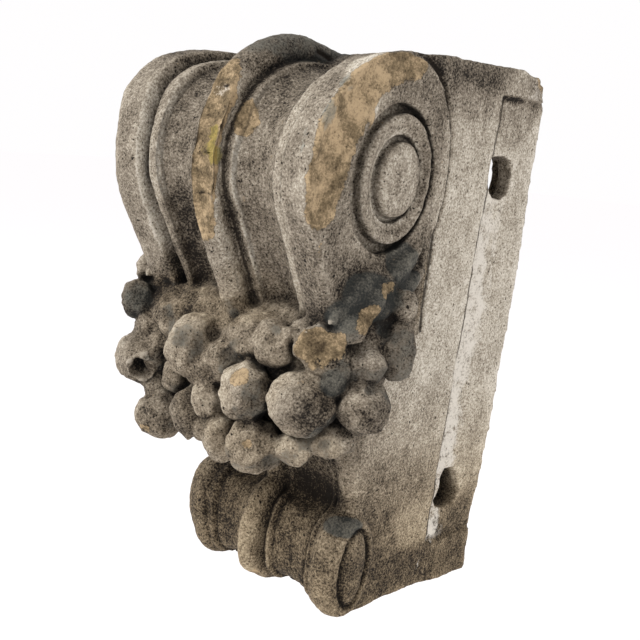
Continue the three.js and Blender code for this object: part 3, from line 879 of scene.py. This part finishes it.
def width_across(places):
    """Distance from the middle, as wide as on the block at the gauge height."""
    return np.abs(places[:, 0]) * BLOCK_HALF / half_width(places[:, 2])


def behind_rim(places):
    """Distance behind the rear edge of the side panel."""
    _, y, z = places.T
    knee_y, knee_z = rim_edge(RIM["from"], 1)[0]
    curved = (ring(places, RIM) - 1) * (RIM["ry"] + RIM["rz"]) / 2
    straight = y - np.interp(z, [PANEL_FOOT[1], knee_z], [PANEL_FOOT[0], knee_y])
    away = np.where(z > knee_z, curved, np.where(z > PANEL_FOOT[1], straight, NO_LINE))
    away -= RIM_LINE * np.clip((y - RIM["y"]) / RIM["ry"], 0, 1)
    return np.where(y > RIM["y"] + RIM_LINE_FROM, away, NO_LINE)


def score(places, normals, away, half, depth):
    """Presses a groove into the clay along a line, given each point's distance from it."""
    places -= normals * (depth * np.exp(-(away / half) ** 2))[:, None]


def wear(body):
    """An uneven, pitted skin, nibbled arrises, facets on the fruit, and grooves on the panels and the lower roll."""
    for size, height in LUMPS:
        roughen(body, size, height)
    places = positions(body)
    normals, edges = surface(body)
    arris = smooth_step(smoothed(ridges(places, normals, edges), edges, 2), *ARRIS_TURN)
    bites = np.maximum(grain(places, 16, 3) + 0.6 * grain(places, 6, 4), 0)
    places -= normals * (NIBBLE * arris * bites)[:, None]
    x, y, z = places.T
    fruity = in_swag(y, z)
    near = np.flatnonzero(fruity > 0)
    cells = np.array([noise.voronoi(Vector(p))[0][0] for p in places[near] / FACET])
    places[near] += normals[near] * (FACET_DEPTH * (cells - FACET_EVEN) * fruity[near])[:, None]
    across = width_across(places)
    flank = smooth_step(np.abs(normals[:, 0]), 0.5, 0.8) * smooth_step(-y, 150, 160) * smooth_step(z, 316, 322)
    score(places, normals, behind_rim(places) - 2, 2.5, 4 * flank)
    score(places, normals, behind_rim(places) + 20.5, 2, 3 * flank * (1 - smooth_step(z, *STRIP_TOP)))
    foot = on_foot(y, z)
    for line, depth in FOOT_LINES:
        score(places, normals, across - line, FOOT_LINE_HALF, depth * foot)
    z -= SUNK["by"] * smooth_step(-x, *SUNK["left"]) * smooth_step(z, *SUNK["up"]) * smooth_step(-y, *SUNK["front"])
    move_to(body, places)


def settle(body):
    """Sagged and swollen places: each is moved by a shift, or swells by a height."""
    places = positions(body)
    normals, _ = surface(body)
    for middle, size, shift in SAGS:
        touch = smooth_step(1.2 - np.linalg.norm((places - middle) / size, axis=1), 0, 0.8)[:, None]
        places += touch * (np.array(shift) if isinstance(shift, tuple) else normals * shift)
    move_to(body, places)


def in_hollow(places):
    x, y, z = places.T
    depths, heights = zip(*reversed(HOLLOW[2:]))
    inside = np.abs(x) < HOLLOW_HALF * half_width(z) / BLOCK_HALF + HOLLOW_SKIN
    inside &= y > np.interp(z, heights, depths) - HOLLOW_SKIN
    return inside & (z > heights[0] - HOLLOW_SKIN) & (z < heights[-1] + HOLLOW_SKIN)


def thin_out(body):
    """Fewer, larger faces: first in the hollow, then everywhere."""
    hidden = in_hollow(positions(body))
    set_mode("EDIT")
    bpy.ops.mesh.select_all(action="DESELECT")
    set_mode("OBJECT")
    body.data.vertices.foreach_set("select", hidden)
    set_mode("EDIT")
    bpy.ops.mesh.decimate(ratio=HIDDEN_SHARE)
    set_mode("OBJECT")
    body.data.calc_loop_triangles()
    share = TRIANGLES / len(body.data.loop_triangles)
    if share < 1:
        apply_modifier(body, "DECIMATE", ratio=share)


# Tones painted on the points of the mesh: place, half sizes, strength, and the tone aimed at
TONES = [
    # Swag
    ((0, -320, 250), (185, 70, 105), 1, 0.39), ((-40, -312, 328), (150, 34, 22), 0.8, 0.32),
    ((-110, -316, 322), (44, 34, 20), 0.9, 0.12), ((160, -272, 252), (30, 30, 30), 0.9, 0.04),
    ((-156, -322, 312), (24, 26, 28), 0.9, 0.1), ((-40, -330, 206), (24, 26, 30), 0.8, 0.14),
    ((106, -345, 268), (28, 26, 28), 0.8, 0.52), ((146, -325, 250), (20, 26, 30), 0.9, 0.12),
    ((168, -244, 320), (26, 34, 40), 0.7, 0.36), ((76, -342, 312), (22, 20, 18), 0.7, 0.32),
    ((160, -285, 300), (18, 18, 18), 0.7, 0.52), ((62, -350, 262), (34, 26, 34), 0.7, 0.44),
    ((60, -335, 196), (34, 26, 26), 0.7, 0.46), ((104, -318, 205), (22, 26, 22), 0.8, 0.55),
    ((64, -352, 273), (12, 12, 9), 0.9, 0.7),
    # Leaf on the right panel and its shadow
    ((172, -240, 358), (16, 16, 14), 1, 0.7), ((160, -265, 366), (34, 50, 36), 0.9, 0.2),
    ((140, -318, 312), (28, 22, 18), 0.9, 0.02),
    # Strip behind the leaf
    ((150, -181, 360), (16, 7, 60), 0.9, 0.44),
    # Volute and the panel behind it
    ((157, -250, 478), (20, 26, 34), 0.9, 0.74), ((157, -178, 490), (14, 14, 70), 0.8, 0.75),
    # Scroll, bead and the ledge under them
    ((-88, -310, 362), (30, 30, 30), 0.9, 0.1), ((10, -280, 600), (24, 110, 34), 1, 0.28),
    ((144, -366, 480), (12, 20, 50), 0.6, 0.7), ((-70, -330, 410), (30, 30, 34), 0.7, 0.12),
    ((20, -310, 332), (60, 30, 14), 0.8, 0.55), ((152, -300, 572), (16, 30, 28), 0.9, 1.1),
    ((60, -345, 545), (34, 40, 40), 0.6, 0.54), ((8, -345, 400), (16, 30, 60), 0.6, 0.44),
    ((156, -333, 402), (8, 2.5, 34), 0.9, 0), ((152, -308, 562), (16, 26, 30), 1, 0.98),
    # Single fruit, over the scroll's shade
    ((-38, -334, 284), (26, 24, 34), 0.7, 0.46), ((56, -348, 266), (24, 24, 24), 0.8, 0.66),
    ((-100, -318, 318), (44, 34, 24), 0.9, 0.02),
    # Foot
    ((0, -240, 60), (140, 70, 85), 1, 0.28), ((8, -262, 45), (20, 26, 50), 0.9, 0.55),
    ((112, -256, 48), (26, 26, 50), 0.9, 0.29), ((-90, -245, 70), (40, 40, 60), 0.9, 0.18),
    # At the right roll's top, the recess behind it and the throat over it are painted dark as shade
    ((122, -215, 45), (14, 36, 52), 0.9, 0.19), ((116, -238, 106), (26, 28, 13), 0.9, 0.12),
    ((66, -220, 132), (56, 18, 20), 0.7, 0.06),
    # Side and rear top corner
    ((150, -50, 550), (16, 40, 44), 0.8, 0.68), ((118, -40, 150), (16, 44, 60), 0.7, 0.95),
    ((114, -112, 84), (14, 46, 34), 0.8, 0.75), ((112, -30, 50), (14, 46, 70), 0.7, 0.3),
    ((150, -34, 590), (18, 52, 22), 0.9, 0.72), ((147, -66, 568), (12, 24, 3), 0.95, 0),
]
# Stains painted in the same way: place, half sizes, strength
STAINS = {
    "earth": [
        ((0, -310, 270), (180, 60, 105), 0.35), ((-40, -312, 325), (120, 34, 24), 0.6),
        ((60, -330, 198), (70, 40, 34), 0.5), ((120, -305, 208), (40, 34, 26), 0.5),
        ((150, -181, 360), (16, 7, 60), 0.6), ((0, -240, 60), (150, 80, 90), 0.9),
    ],
    "soot": [
        ((-150, -326, 312), (22, 22, 24), 0.55), ((147, -306, 281), (16, 18, 16), 0.7),
        ((150, -318, 330), (34, 24, 16), 0.5), ((131, -301, 337), (10, 10, 8), 0.9),
        ((160, -275, 362), (30, 36, 28), 1), ((156, -226, 394), (30, 26, 28), 1),
        ((152, -300, 346), (26, 30, 18), 0.9), ((10, -250, 604), (26, 110, 26), 0.55),
        # Soot laid dark in the recess behind the right roll, as painted shade with some dirt
        ((116, -238, 106), (24, 26, 11), 0.95),
    ],
    "bare": [
        ((62, -352, 272), (13, 12, 11), 0.9), ((-100, -344, 214), (10, 12, 6), 0.8),
        ((73, -348, 205), (6, 8, 4), 0.8), ((-94, -346, 178), (7, 8, 6), 0.9), ((6, -262, 18), (8, 10, 5), 0.9),
        ((147, -341, 398), (4, 4, 18), 0.6), ((144, -331, 362), (4, 5, 12), 0.6),
        ((158, -297, 520), (5, 6, 14), 0.6), ((158, -291, 440), (5, 5, 10), 0.5),
    ],
    "lime": [
        ((140, -336, 256), (20, 18, 20), 0.3), ((0, -348, 549), (16, 10, 9), 0.55),
        ((114, -92, 82), (12, 18, 20), 0.45), ((112, -76, 66), (10, 6, 26), 0.7),
        ((112, -96, 25), (8, 2.5, 14), 0.75), ((150, -25, 582), (16, 34, 18), 0.5),
    ],
    "moss": [
        ((4, -360, 505), (12, 14, 14), 0.8), ((12, -364, 486), (9, 12, 12), 0.9),
        ((-2, -362, 492), (8, 10, 12), 0.7),
    ],
    "teal": [
        ((152, -331, 563), (6, 16, 12), 0.75), ((153, -350, 534), (5, 10, 18), 0.75),
        ((138, -364, 508), (4, 10, 16), 0.65),
    ],
}
# Where a stroke ends, how softly, and how much it frays, in parts of its size
STROKE = {"end": 1.25, "soft": 0.6, "fray": 0.25}
# Tone of each face by its height: heights, tones
CLAY_TONE = 0.47
FACE_TONE = [330, 420, 520, 600], [0.39, 0.55, 0.52, 0.36]
RIGHT_BAND_TONE = [350, 400, 450], [0.22, 0.32, 0.54]
LEFT_BAND_TONE = 0.5
PANEL_TONE = [330, 400, 600], [0.5, 0.45, 0.42]
SIDE_TONE = [0, 40, 90, 150, 220, 300, 520], [0.24, 0.28, 0.42, 0.6, 0.84, 1.03, 0.96]
SIDE_TOP_TONE = [540, 566, 584], [0.85, 0.55, 0.26]
# The throat under the swag is darkened with dirt and painted shade; the well round the volute's disc and the
# underside with painted shade
THROAT_SHADE_TONE = [110, 150, 190], [0.1, 0.22, 0.3]
TOP_TONE, UNDER_SHADE_TONE, WALL_TONE, WELL_SHADE_TONE = 0.26, 0.2, 0.62, 0.12
EARTH = [0, 90, 190, 260], [1, 0.8, 0.25, 0.06]
# How steeply the side's damp edge falls towards the front
DAMP_SLOPE = 0.4
DAMP_FROM = -160
# Lip, groove and the crease beside the bead, the groove and the crease painted dark as shade: tone, strength, and
# where each starts and ends across the face
STRIPES = [(0.6, 1, (92, 96, 103, 106)), (0.12, 0.9, (104, 107, 112, 116)), (0.2, 0.6, (15, 19, 24, 27))]
# Painted light and shade on the fruit: the way the painted light comes from, the sky and the front; how much paler
# the fruit is painted where it faces it and darker where it faces away; and how dark its creases are painted as shade
LIT_FROM = np.array((-0.3, -0.5, 0.8))
FRUIT_PAINTED_LIGHT = 0.2
CREASE_SHADE = 0.4
# Dark lines painted as shade in the creases: the face they run on, the layer they follow, place, half width, strength
LINES = [
    ("face", "across", 109, 4, 0.85), ("face", "across", 91, 1.6, 0.6), ("face", "across", 18, 1.8, 0.7),
    ("face", "across", 30.5, 1.2, 0.5), ("foot", "across", 19, 1.6, 0.75), ("foot", "across", 30, 1, 0.5),
    ("foot", "across", 97, 1.2, 0.65), ("flank", "rim", 2, 2, 0.85), ("strip", "rim", -20.5, 1.4, 0.8),
    ("strip", "rim", -10.5, 1.2, 0.7),
]


def shelter(body, normals, reach):
    """How closed in each point is: the share of rays that meet clay within a reach in millimetres."""
    tree = BVHTree.FromObject(body, bpy.context.evaluated_depsgraph_get())
    chance = random.Random(4)
    fan = []
    for i in range(SHELTER_RAYS):
        up = math.sqrt((i + 0.5) / SHELTER_RAYS)
        out = math.sqrt(1 - up * up)
        around = i * math.pi * (3 - math.sqrt(5))
        fan.append(Vector((math.cos(around) * out, math.sin(around) * out, up)))
    closed = np.zeros(len(normals))
    for i, vertex in enumerate(body.data.vertices):
        normal = Vector(normals[i])
        lean = normal.to_track_quat("Z", "Y").to_matrix() @ Matrix.Rotation(chance.random() * math.tau, 3, "Z")
        start = vertex.co + normal * (0.5 * MM)
        met = sum(tree.ray_cast(start, lean @ ray, reach * MM)[0] is not None for ray in fan)
        closed[i] = met / SHELTER_RAYS
    return closed


def faces_of(places, normals):
    """How far each point belongs to the swag, the plain side, the face above the swag and the side panel."""
    x, y, z = places.T
    beyond = np.abs(x) - half_width(z)
    sideways = smooth_step(np.abs(normals[:, 0]), 0.5, 0.8)
    swag = in_swag(y, z)
    flank = sideways * (1 - smooth_step(beyond, 2, 5)) * (1 - swag)
    above = smooth_step(z, 330, 345) * smooth_step(-y, 150, 190)
    return swag, flank, above, above * sideways * smooth_step(beyond, 3, 6)


def base_tone(places, forward, normals, flank, above, panel):
    """The clay's tone before its stains: each face by its height, darker in grooves and hollows as painted shade, and
    in the throat under the swag and on the underside.
    """
    x, y, z = places.T
    _, back, up = normals.T
    across = width_across(places)
    tone = np.full(len(places), CLAY_TONE)

    def lay(aim, where):
        tone[:] += (aim - tone) * where

    lay(np.interp(z, *FACE_TONE), above)
    band = np.where(x > 0, np.interp(z, *RIGHT_BAND_TONE), LEFT_BAND_TONE)
    lay(band, smooth_step(across, 113, 117) * above * forward)
    # The groove and the crease beside the bead are darkened as painted shade
    for aim, strength, stretch in STRIPES:
        lay(aim, between(across, *stretch) * above * strength)
    lay(np.interp(z, *PANEL_TONE), panel)
    # The well round the volute's disc painted dark as shade
    lay(WELL_SHADE_TONE, panel * between(ring(places, WELL), 0.86, 0.9, 1, 1.04) * smooth_step(-y, 230, 260))
    damp = np.interp(z + DAMP_SLOPE * (y - DAMP_FROM), *SIDE_TONE)
    lay(np.where(z > SIDE_TOP_TONE[0][0], np.interp(z, *SIDE_TOP_TONE), damp), flank)
    # The throat under the swag painted dark: dirt and painted shade
    throat = between(z, 105, 115, 190, 215) * (1 - smooth_step(across, 118, 124)) * smooth_step(-y, 180, 195)
    lay(np.interp(z, *THROAT_SHADE_TONE), throat * forward)
    lay(TOP_TONE, smooth_step(up, 0.6, 0.9) * smooth_step(z, 575, 595))
    # The underside painted dark as shade
    lay(UNDER_SHADE_TONE, smooth_step(-up, 0.7, 0.9) * (1 - smooth_step(z, 20, 40)))
    lay(WALL_TONE, smooth_step(back, 0.7, 0.9) * (1 - in_hollow(places)))
    return tone


def paint(body):
    """Lays tone with its painted light and shade, dirt, broken clay, lime and growth on the mesh, as layers the
    clay's colours read.
    """
    places = positions(body)
    normals, edges = surface(body)
    _, y, z = places.T
    side, back, up = normals.T
    forward = smooth_step(-back, 0.1, 0.4)
    swag, flank, above, panel = faces_of(places, normals)
    face = above * forward
    patches = grain(places, 60) + 0.5 * grain(places, 24, 1)

    def stroke(middle, size, strength):
        reach = np.linalg.norm((places - middle) / size, axis=1)
        return strength * smooth_step(STROKE["end"] - reach + STROKE["fray"] * patches, 0, STROKE["soft"])

    tone = base_tone(places, forward, normals, flank, above, panel)
    for middle, size, strength, aim in TONES:
        tone += (aim - tone) * stroke(middle, size, strength)
    layers = {name: np.max([stroke(*row) for row in rows], axis=0) for name, rows in STAINS.items()}
    layers["earth"] = np.maximum(layers["earth"], np.interp(z, *EARTH))
    for chain, rough in LOSSES:
        outside, _ = depth_outside(places, chain, rough)
        layers["bare"] = np.maximum(layers["bare"], 1 - smooth_step(np.abs(outside), 1, 8))
    # Creases pressed into the fruit are darkened as painted shade
    for crease in CREASES:
        outside, _ = depth_outside(places, crease, CREASE_ROUGH)
        tone -= CREASE_SHADE * (1 - smooth_step(outside, 0, 3))
    # Soot on the fruit, laid more where the fruit faces the side and down, which also paints shade on those sides
    soot_and_shade = smooth_step(grain(places, 38, 6) + 0.4 * grain(places, 12, 7) + 0.3 * (side - up), 0.1, 0.6)
    layers["soot"] = np.maximum(layers["soot"], 0.5 * swag * soot_and_shade)
    closed, crevice = (smoothed(shelter(body, normals, r), edges, 1) for r in (SHELTER_REACH, CREVICE_REACH))
    sharp = ridges(places, normals, edges)
    # Bulges paler and hollows darker: partly wear, partly painted light and shade on the fruit and mouldings
    form = np.clip(smoothed(sharp, edges, 8) / 0.06, -1.3, 1)
    # Painted light and shade on the fruit: paler where it faces the sky and the front, darker where it faces away
    tone += FRUIT_PAINTED_LIGHT * swag * (normals @ LIT_FROM - 0.15)
    layers.update(
        flank=flank, face=face, foot=on_foot(y, z), strip=panel * (1 - smooth_step(z, *STRIP_TOP)),
        across=width_across(places), rim=behind_rim(places), grit=1 - 0.12 * swag + 0.12 * flank - 0.08 * face,
        # Painted shade, with some dirt: darker where the clay is closed in, under overhangs and in crevices
        shade=np.minimum(0.75 * (smooth_step(closed, 0.25, 0.85) + smooth_step(crevice, 0.2, 0.6)), 1),
        edge=smooth_step(sharp, 0.08, 0.3), form=form,
        tone=tone + (0.09 + 0.12 * swag) * patches + 0.2 * form,
    )
    for name, values in layers.items():
        body.data.attributes.new(name, "FLOAT", "POINT").data.foreach_set("value", values.astype(np.float32))


# Looks


def colour(red, green, blue):
    """A colour as read from a screen, 0 to 255, made linear."""
    shares = [c / 255 for c in (red, green, blue)]
    return *[s / 12.92 if s < 0.04 else ((s + 0.055) / 1.055) ** 2.4 for s in shares], 1


# Skin of the clay from its darkest dirt and painted shade to its palest face
SKIN = [
    (0, colour(26, 21, 16)), (0.2, colour(78, 70, 60)), (0.48, colour(124, 114, 100)), (0.75, colour(158, 148, 133)),
    (1, colour(192, 183, 167)), (1.3, colour(222, 215, 202)),
]
BARE = [(0, colour(66, 54, 38)), (0.5, colour(124, 107, 81)), (1, colour(186, 162, 128))]
# Dark brown of dirt and painted shade in hollows and creases, also used for torn rims, the rebate's seam and the
# crease lines
CREVICE_DIRT_AND_SHADE = colour(34, 27, 20)
# Pale of worn arrises, which also serves as a painted highlight along them
WEAR_AND_HIGHLIGHT = colour(186, 176, 160)
EARTHY = (1, 0.9, 0.72, 1)
SOOT = colour(46, 48, 46)
# Grey of soot rubbed off the bulges, which also serves as a painted highlight on them
RUBBED_SOOT_AND_HIGHLIGHT = colour(108, 106, 97)
LIME = colour(224, 217, 205)
MOSS = colour(150, 142, 62)
TEAL = colour(122, 130, 126)
# Broad, middle and fine grain of the clay: scale, detail, roughness
GRAIN = [(22, 5, 0.6), (75, 6, 0.65), (420, 4, 0.75)]
# Seam of the rebate, a dark line of painted shade along its step: its wander, how far behind the edge it shows, and
# farther where no mortar fills the rebate.
# Heights here and for the mortar are above the mount.
SEAM = {
    "wander": 6, "off": -3, "at": 4, "farther": 4, "bare_from": (330, 400), "half": (2.2, 0.6), "ends": (12, -4),
}
# Mortar in the rebate: start behind the seam, reach, ragged edge, where it ends above, and its outer line
MORTAR = {
    "start": (4, 6), "reach": (68, 58), "ragged": 70, "top": (400, 360),
    "outer": 46, "outer_wander": 20, "outer_half": (5, 2), "outer_from": (200, 240),
}


class Mixer:
    """Builds the nodes of one material."""

    def __init__(self, material):
        material.use_nodes = True
        self.nodes = material.node_tree.nodes
        self.links = material.node_tree.links

    def add(self, kind, values, output=0, **settings):
        made = self.nodes.new(kind)
        for name, value in settings.items():
            setattr(made, name, value)
        for socket, value in values.items():
            if isinstance(value, bpy.types.NodeSocket):
                self.links.new(value, made.inputs[socket])
            else:
                made.inputs[socket].default_value = value
        return made.outputs[output]

    def math(self, operation, *values):
        return self.add("ShaderNodeMath", dict(enumerate(values)), operation=operation)

    def layer(self, name):
        return self.add("ShaderNodeAttribute", {}, "Fac", attribute_name=name)

    def noise(self, place, scale, detail=4, rough=0.6):
        return self.add("ShaderNodeTexNoise", {"Vector": place, "Scale": scale, "Detail": detail, "Roughness": rough})

    def add_scaled(self, base, value, amount):
        return self.math("MULTIPLY_ADD", value, amount, base)

    def times(self, *values):
        product = values[0]
        for value in values[1:]:
            product = self.math("MULTIPLY", product, value)
        return product

    def away(self, value, middle):
        return self.math("ABSOLUTE", self.math("SUBTRACT", value, middle))

    def step(self, value, low, high):
        return self.add(
            "ShaderNodeMapRange", {"Value": value, "From Min": low, "From Max": high}, interpolation_type="SMOOTHSTEP"
        )

    def ramp(self, value, stops):
        high = stops[-1][0]
        socket = self.add("ShaderNodeValToRGB", {0: self.times(value, 1 / high)})
        elements = socket.node.color_ramp.elements
        while len(elements) < len(stops):
            elements.new(1)
        for element, (place, shade) in zip(elements, stops):
            element.position = place / high
            element.color = shade
        return socket

    def mix(self, factor, a, b, blend="MIX"):
        return self.add("ShaderNodeMix", {0: factor, 6: a, 7: b}, 2, data_type="RGBA", blend_type=blend)


class Clay(Mixer):
    """Fired clay: pitted and grainy, with dirt, painted light and shade, lime and growth laid over its skin where the
    layers put them.
    """

    def __init__(self, material):
        super().__init__(material)
        self.place = self.add("ShaderNodeTexCoord", {}, "Object")
        self.broad, self.middle, self.fine = (self.noise(self.place, *grain) for grain in GRAIN)
        cells = self.add("ShaderNodeTexVoronoi", {"Vector": self.place, "Scale": 230}, "Distance")
        self.pores = self.step(self.add_scaled(cells, self.fine, 0.6), 0.48, 0.36)
        self.ragged = self.add_scaled(self.times(self.middle, 0.9), self.fine, 0.7)
        skin = self.ramp(self.grainy_tone(), SKIN)
        self.skin = self.mix(self.layer("earth"), skin, self.mix(1, skin, EARTHY, "MULTIPLY"))

    def grainy_tone(self):
        """The painted tone with the clay's grain, its streaks, pores and larger pits."""
        drag = self.add("ShaderNodeMapping", {"Vector": self.place, "Scale": (1, 1, 0.14)})
        grit = self.times(self.layer("grit"), 2.4)
        pitted = self.add_scaled(self.times(self.layer("earth"), -0.4), 1.0, -0.6)
        holes = self.step(self.noise(self.place, 190, 1), 0.3, 0.24)
        tone = self.layer("tone")
        for value, amount in (
            (self.broad, 0.6), (self.middle, 0.8), (self.add_scaled(self.fine, -0.5, 1.0), grit),
            (self.noise(drag, 160, 3), 0.4), (self.pores, pitted), (holes, -0.6), (1.0, -0.95),
        ):
            tone = self.add_scaled(tone, value, amount)
        return tone

    def cover(self, shade, *amounts):
        self.skin = self.mix(self.times(*amounts), self.skin, shade)

    def patch(self, name, low, high):
        return self.step(self.add_scaled(self.layer(name), self.ragged, 0.9), low, high)

    def stain(self):
        """Soot, grey where it is rubbed off the bulges, which also paints highlights; broken clay with a dark torn
        rim, blue-green marks, lime, moss, arrises worn pale and painted as highlights, and dirt and painted shade in
        hollows and under overhangs.
        """
        # Soot turns grey where it is rubbed off bulges and ragged spots, painted as highlights too
        rubbed_and_lit = self.add_scaled(self.times(self.layer("form"), 0.6), self.ragged, 1.6)
        rubbed_and_lit = self.step(self.add_scaled(rubbed_and_lit, self.fine, 1.2), 1.8, 3.1)
        self.cover(self.mix(rubbed_and_lit, SOOT, RUBBED_SOOT_AND_HIGHLIGHT), self.patch("soot", 1.0, 1.4), 0.85)
        worn = self.add_scaled(self.times(self.fine, 1.7), self.middle, 2.3)
        worn = self.add_scaled(self.add_scaled(worn, self.pores, -0.25), self.layer("tone"), 0.6)
        torn = self.add_scaled(self.times(self.middle, 2), self.fine, 0.8)
        bared = self.step(self.add_scaled(self.layer("bare"), torn, 1.0), 1.75, 1.95)
        self.cover(self.ramp(self.add_scaled(worn, 1.0, -1.75), BARE), bared)
        self.cover(CREVICE_DIRT_AND_SHADE, self.step(bared, 0, 0.5), self.step(bared, 1, 0.5), 0.6)
        self.cover(TEAL, self.patch("teal", 1.2, 1.5), 0.45)
        self.cover(LIME, self.patch("lime", 1.2, 1.5), 0.8)
        self.cover(self.mix(self.fine, MOSS, self.skin, "OVERLAY"), self.patch("moss", 1.3, 1.6), 0.7)
        # Sharp arrises painted pale: wear, and a painted highlight
        self.cover(WEAR_AND_HIGHLIGHT, self.patch("edge", 1.1, 1.6), 0.65)
        # Dirt and painted shade darken the skin under overhangs and in crevices
        dirt_and_shade = self.mix(1, self.skin, CREVICE_DIRT_AND_SHADE, "MULTIPLY")
        self.cover(self.mix(0.88, self.skin, dirt_and_shade), self.layer("shade"))

    def rebate(self):
        """The seam of the rebate as a dark line of painted shade, and the lime mortar left in it."""
        apart = self.add("ShaderNodeSeparateXYZ", {0: self.place}).node.outputs
        upright = apart["Z"]
        behind = self.add_scaled(apart["Y"], self.noise(self.place, 30, 2), SEAM["wander"] * MM)
        behind = self.add_scaled(behind, 1.0, (SEAM["off"] - REBATE["inner"]) * MM)
        foot, top = metres(REBATE[end] - MOUNT_HEIGHT for end in ("foot", "top"))
        above, below = metres(SEAM["ends"])
        tall = self.times(self.step(upright, foot, foot + above), self.step(upright, top, top + below))
        tall = self.times(tall, self.layer("flank"))
        bare = self.step(upright, *metres(SEAM["bare_from"]))
        seam = self.add_scaled(behind, bare, -SEAM["farther"] * MM)
        seam = self.step(self.away(seam, SEAM["at"] * MM), *metres(SEAM["half"]))
        spread = self.add_scaled(behind, self.noise(self.place, 24, 6, 0.7), MORTAR["ragged"] * MM)
        chalky = self.times(self.step(behind, *metres(MORTAR["start"])), self.step(spread, *metres(MORTAR["reach"])))
        chalky = self.times(chalky, self.step(self.ragged, 0.6, 0.85))
        outer = self.away(self.add_scaled(behind, self.broad, MORTAR["outer_wander"] * MM), MORTAR["outer"] * MM)
        outer = self.times(self.step(outer, *metres(MORTAR["outer_half"])), self.step(self.ragged, 0.7, 0.95))
        outer = self.times(outer, self.step(upright, *metres(MORTAR["outer_from"])), 0.7)
        chalky = self.times(self.math("MAXIMUM", chalky, outer), self.step(upright, *metres(MORTAR["top"])))
        self.cover(LIME, chalky, tall, 0.9)
        # The seam painted dark as shade along the rebate's step
        self.cover(CREVICE_DIRT_AND_SHADE, seam, tall, 0.75)

    def draw_lines(self):
        # Dark lines of painted shade along the creases
        stray = self.times(self.add_scaled(self.middle, -0.5, 1.0), 3)
        for face, follows, line, half, strength in LINES:
            away = self.away(self.add_scaled(self.layer(follows), stray, 1.0), line)
            self.cover(CREVICE_DIRT_AND_SHADE, self.step(away, half + 1, half - 0.6), self.layer(face), strength)

    def relief(self):
        height = self.add_scaled(self.times(self.fine, 0.7), self.middle, 0.6)
        height = self.add_scaled(height, self.pores, -0.6)
        return self.add("ShaderNodeBump", {"Height": height, "Strength": 0.9, "Distance": 1.5 * MM})


def terracotta():
    material = bpy.data.materials.new("terracotta")
    clay = Clay(material)
    clay.stain()
    clay.rebate()
    clay.draw_lines()
    shader = clay.nodes["Principled BSDF"]
    clay.links.new(clay.relief(), shader.inputs["Normal"])
    clay.links.new(clay.skin, shader.inputs["Base Color"])
    shader.inputs["Roughness"].default_value = 0.92
    shader.inputs["Specular IOR Level"].default_value = 0.25
    return material


# Stage

BACKDROP = (1, 0.99, 0.995, 1)
FLOOR = {"size": 30, "below": 0.25}
KEY = {"place": (-1.3, -2.2, 1.9), "target": (0, -180, 300), "size": 1.2, "power": 40}
CAMERA = {"turn": 44.0, "height": 10.5, "roll": 4.9, "away": 1.1331, "target": (18.8, -200, 310.5), "lens": 57.04}


def stage_floor(low):
    deselect()
    bpy.ops.mesh.primitive_plane_add(size=FLOOR["size"], location=(0, 0, low - FLOOR["below"]))
    floor = bpy.context.object
    floor.name = "floor"
    pale = bpy.data.materials.new("pale_floor")
    mixer = Mixer(pale)
    chalk = mixer.add("ShaderNodeBsdfDiffuse", {"Color": BACKDROP})
    mixer.links.new(chalk, mixer.nodes["Material Output"].inputs["Surface"])
    floor.data.materials.append(pale)


def studio():
    """A pale room and one soft light from the front, on the left."""
    world = bpy.data.worlds.new("studio")
    world.use_nodes = True
    world.node_tree.nodes["Background"].inputs["Color"].default_value = BACKDROP
    world.node_tree.nodes["Background"].inputs["Strength"].default_value = 1
    bpy.context.scene.world = world
    light = bpy.data.lights.new("key", "AREA")
    light.size = KEY["size"]
    light.energy = KEY["power"]
    lamp = bpy.data.objects.new("key", light)
    lamp.location = KEY["place"]
    lamp.rotation_euler = (point(*KEY["target"]) - Vector(KEY["place"])).to_track_quat("-Z", "Y").to_euler()
    bpy.context.scene.collection.objects.link(lamp)
    bpy.context.scene.view_settings.view_transform = "Standard"


def camera():
    data = bpy.data.cameras.new("camera")
    data.sensor_width = 36
    data.lens = CAMERA["lens"]
    eye = bpy.data.objects.new("camera", data)
    aim = Matrix.Rotation(math.radians(CAMERA["turn"]), 4, "Z")
    aim = aim @ Matrix.Rotation(math.radians(90 - CAMERA["height"]), 4, "X")
    aim = aim @ Matrix.Rotation(math.radians(CAMERA["roll"]), 4, "Z")
    back = aim.to_3x3() @ UP
    eye.matrix_world = Matrix.Translation(point(*CAMERA["target"]) + back * CAMERA["away"]) @ aim
    bpy.context.scene.collection.objects.link(eye)
    bpy.context.scene.camera = eye


corbel = clay_body()
fill_between(corbel)
settle(corbel)
wear(corbel)
break_off(corbel)
thin_out(corbel)
paint(corbel)
corbel.data.materials.clear()
corbel.data.materials.append(terracotta())
bpy.ops.object.shade_smooth()
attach(corbel, "root")
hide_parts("corbel")

stage_floor(cad_box[0].z)
studio()
camera()
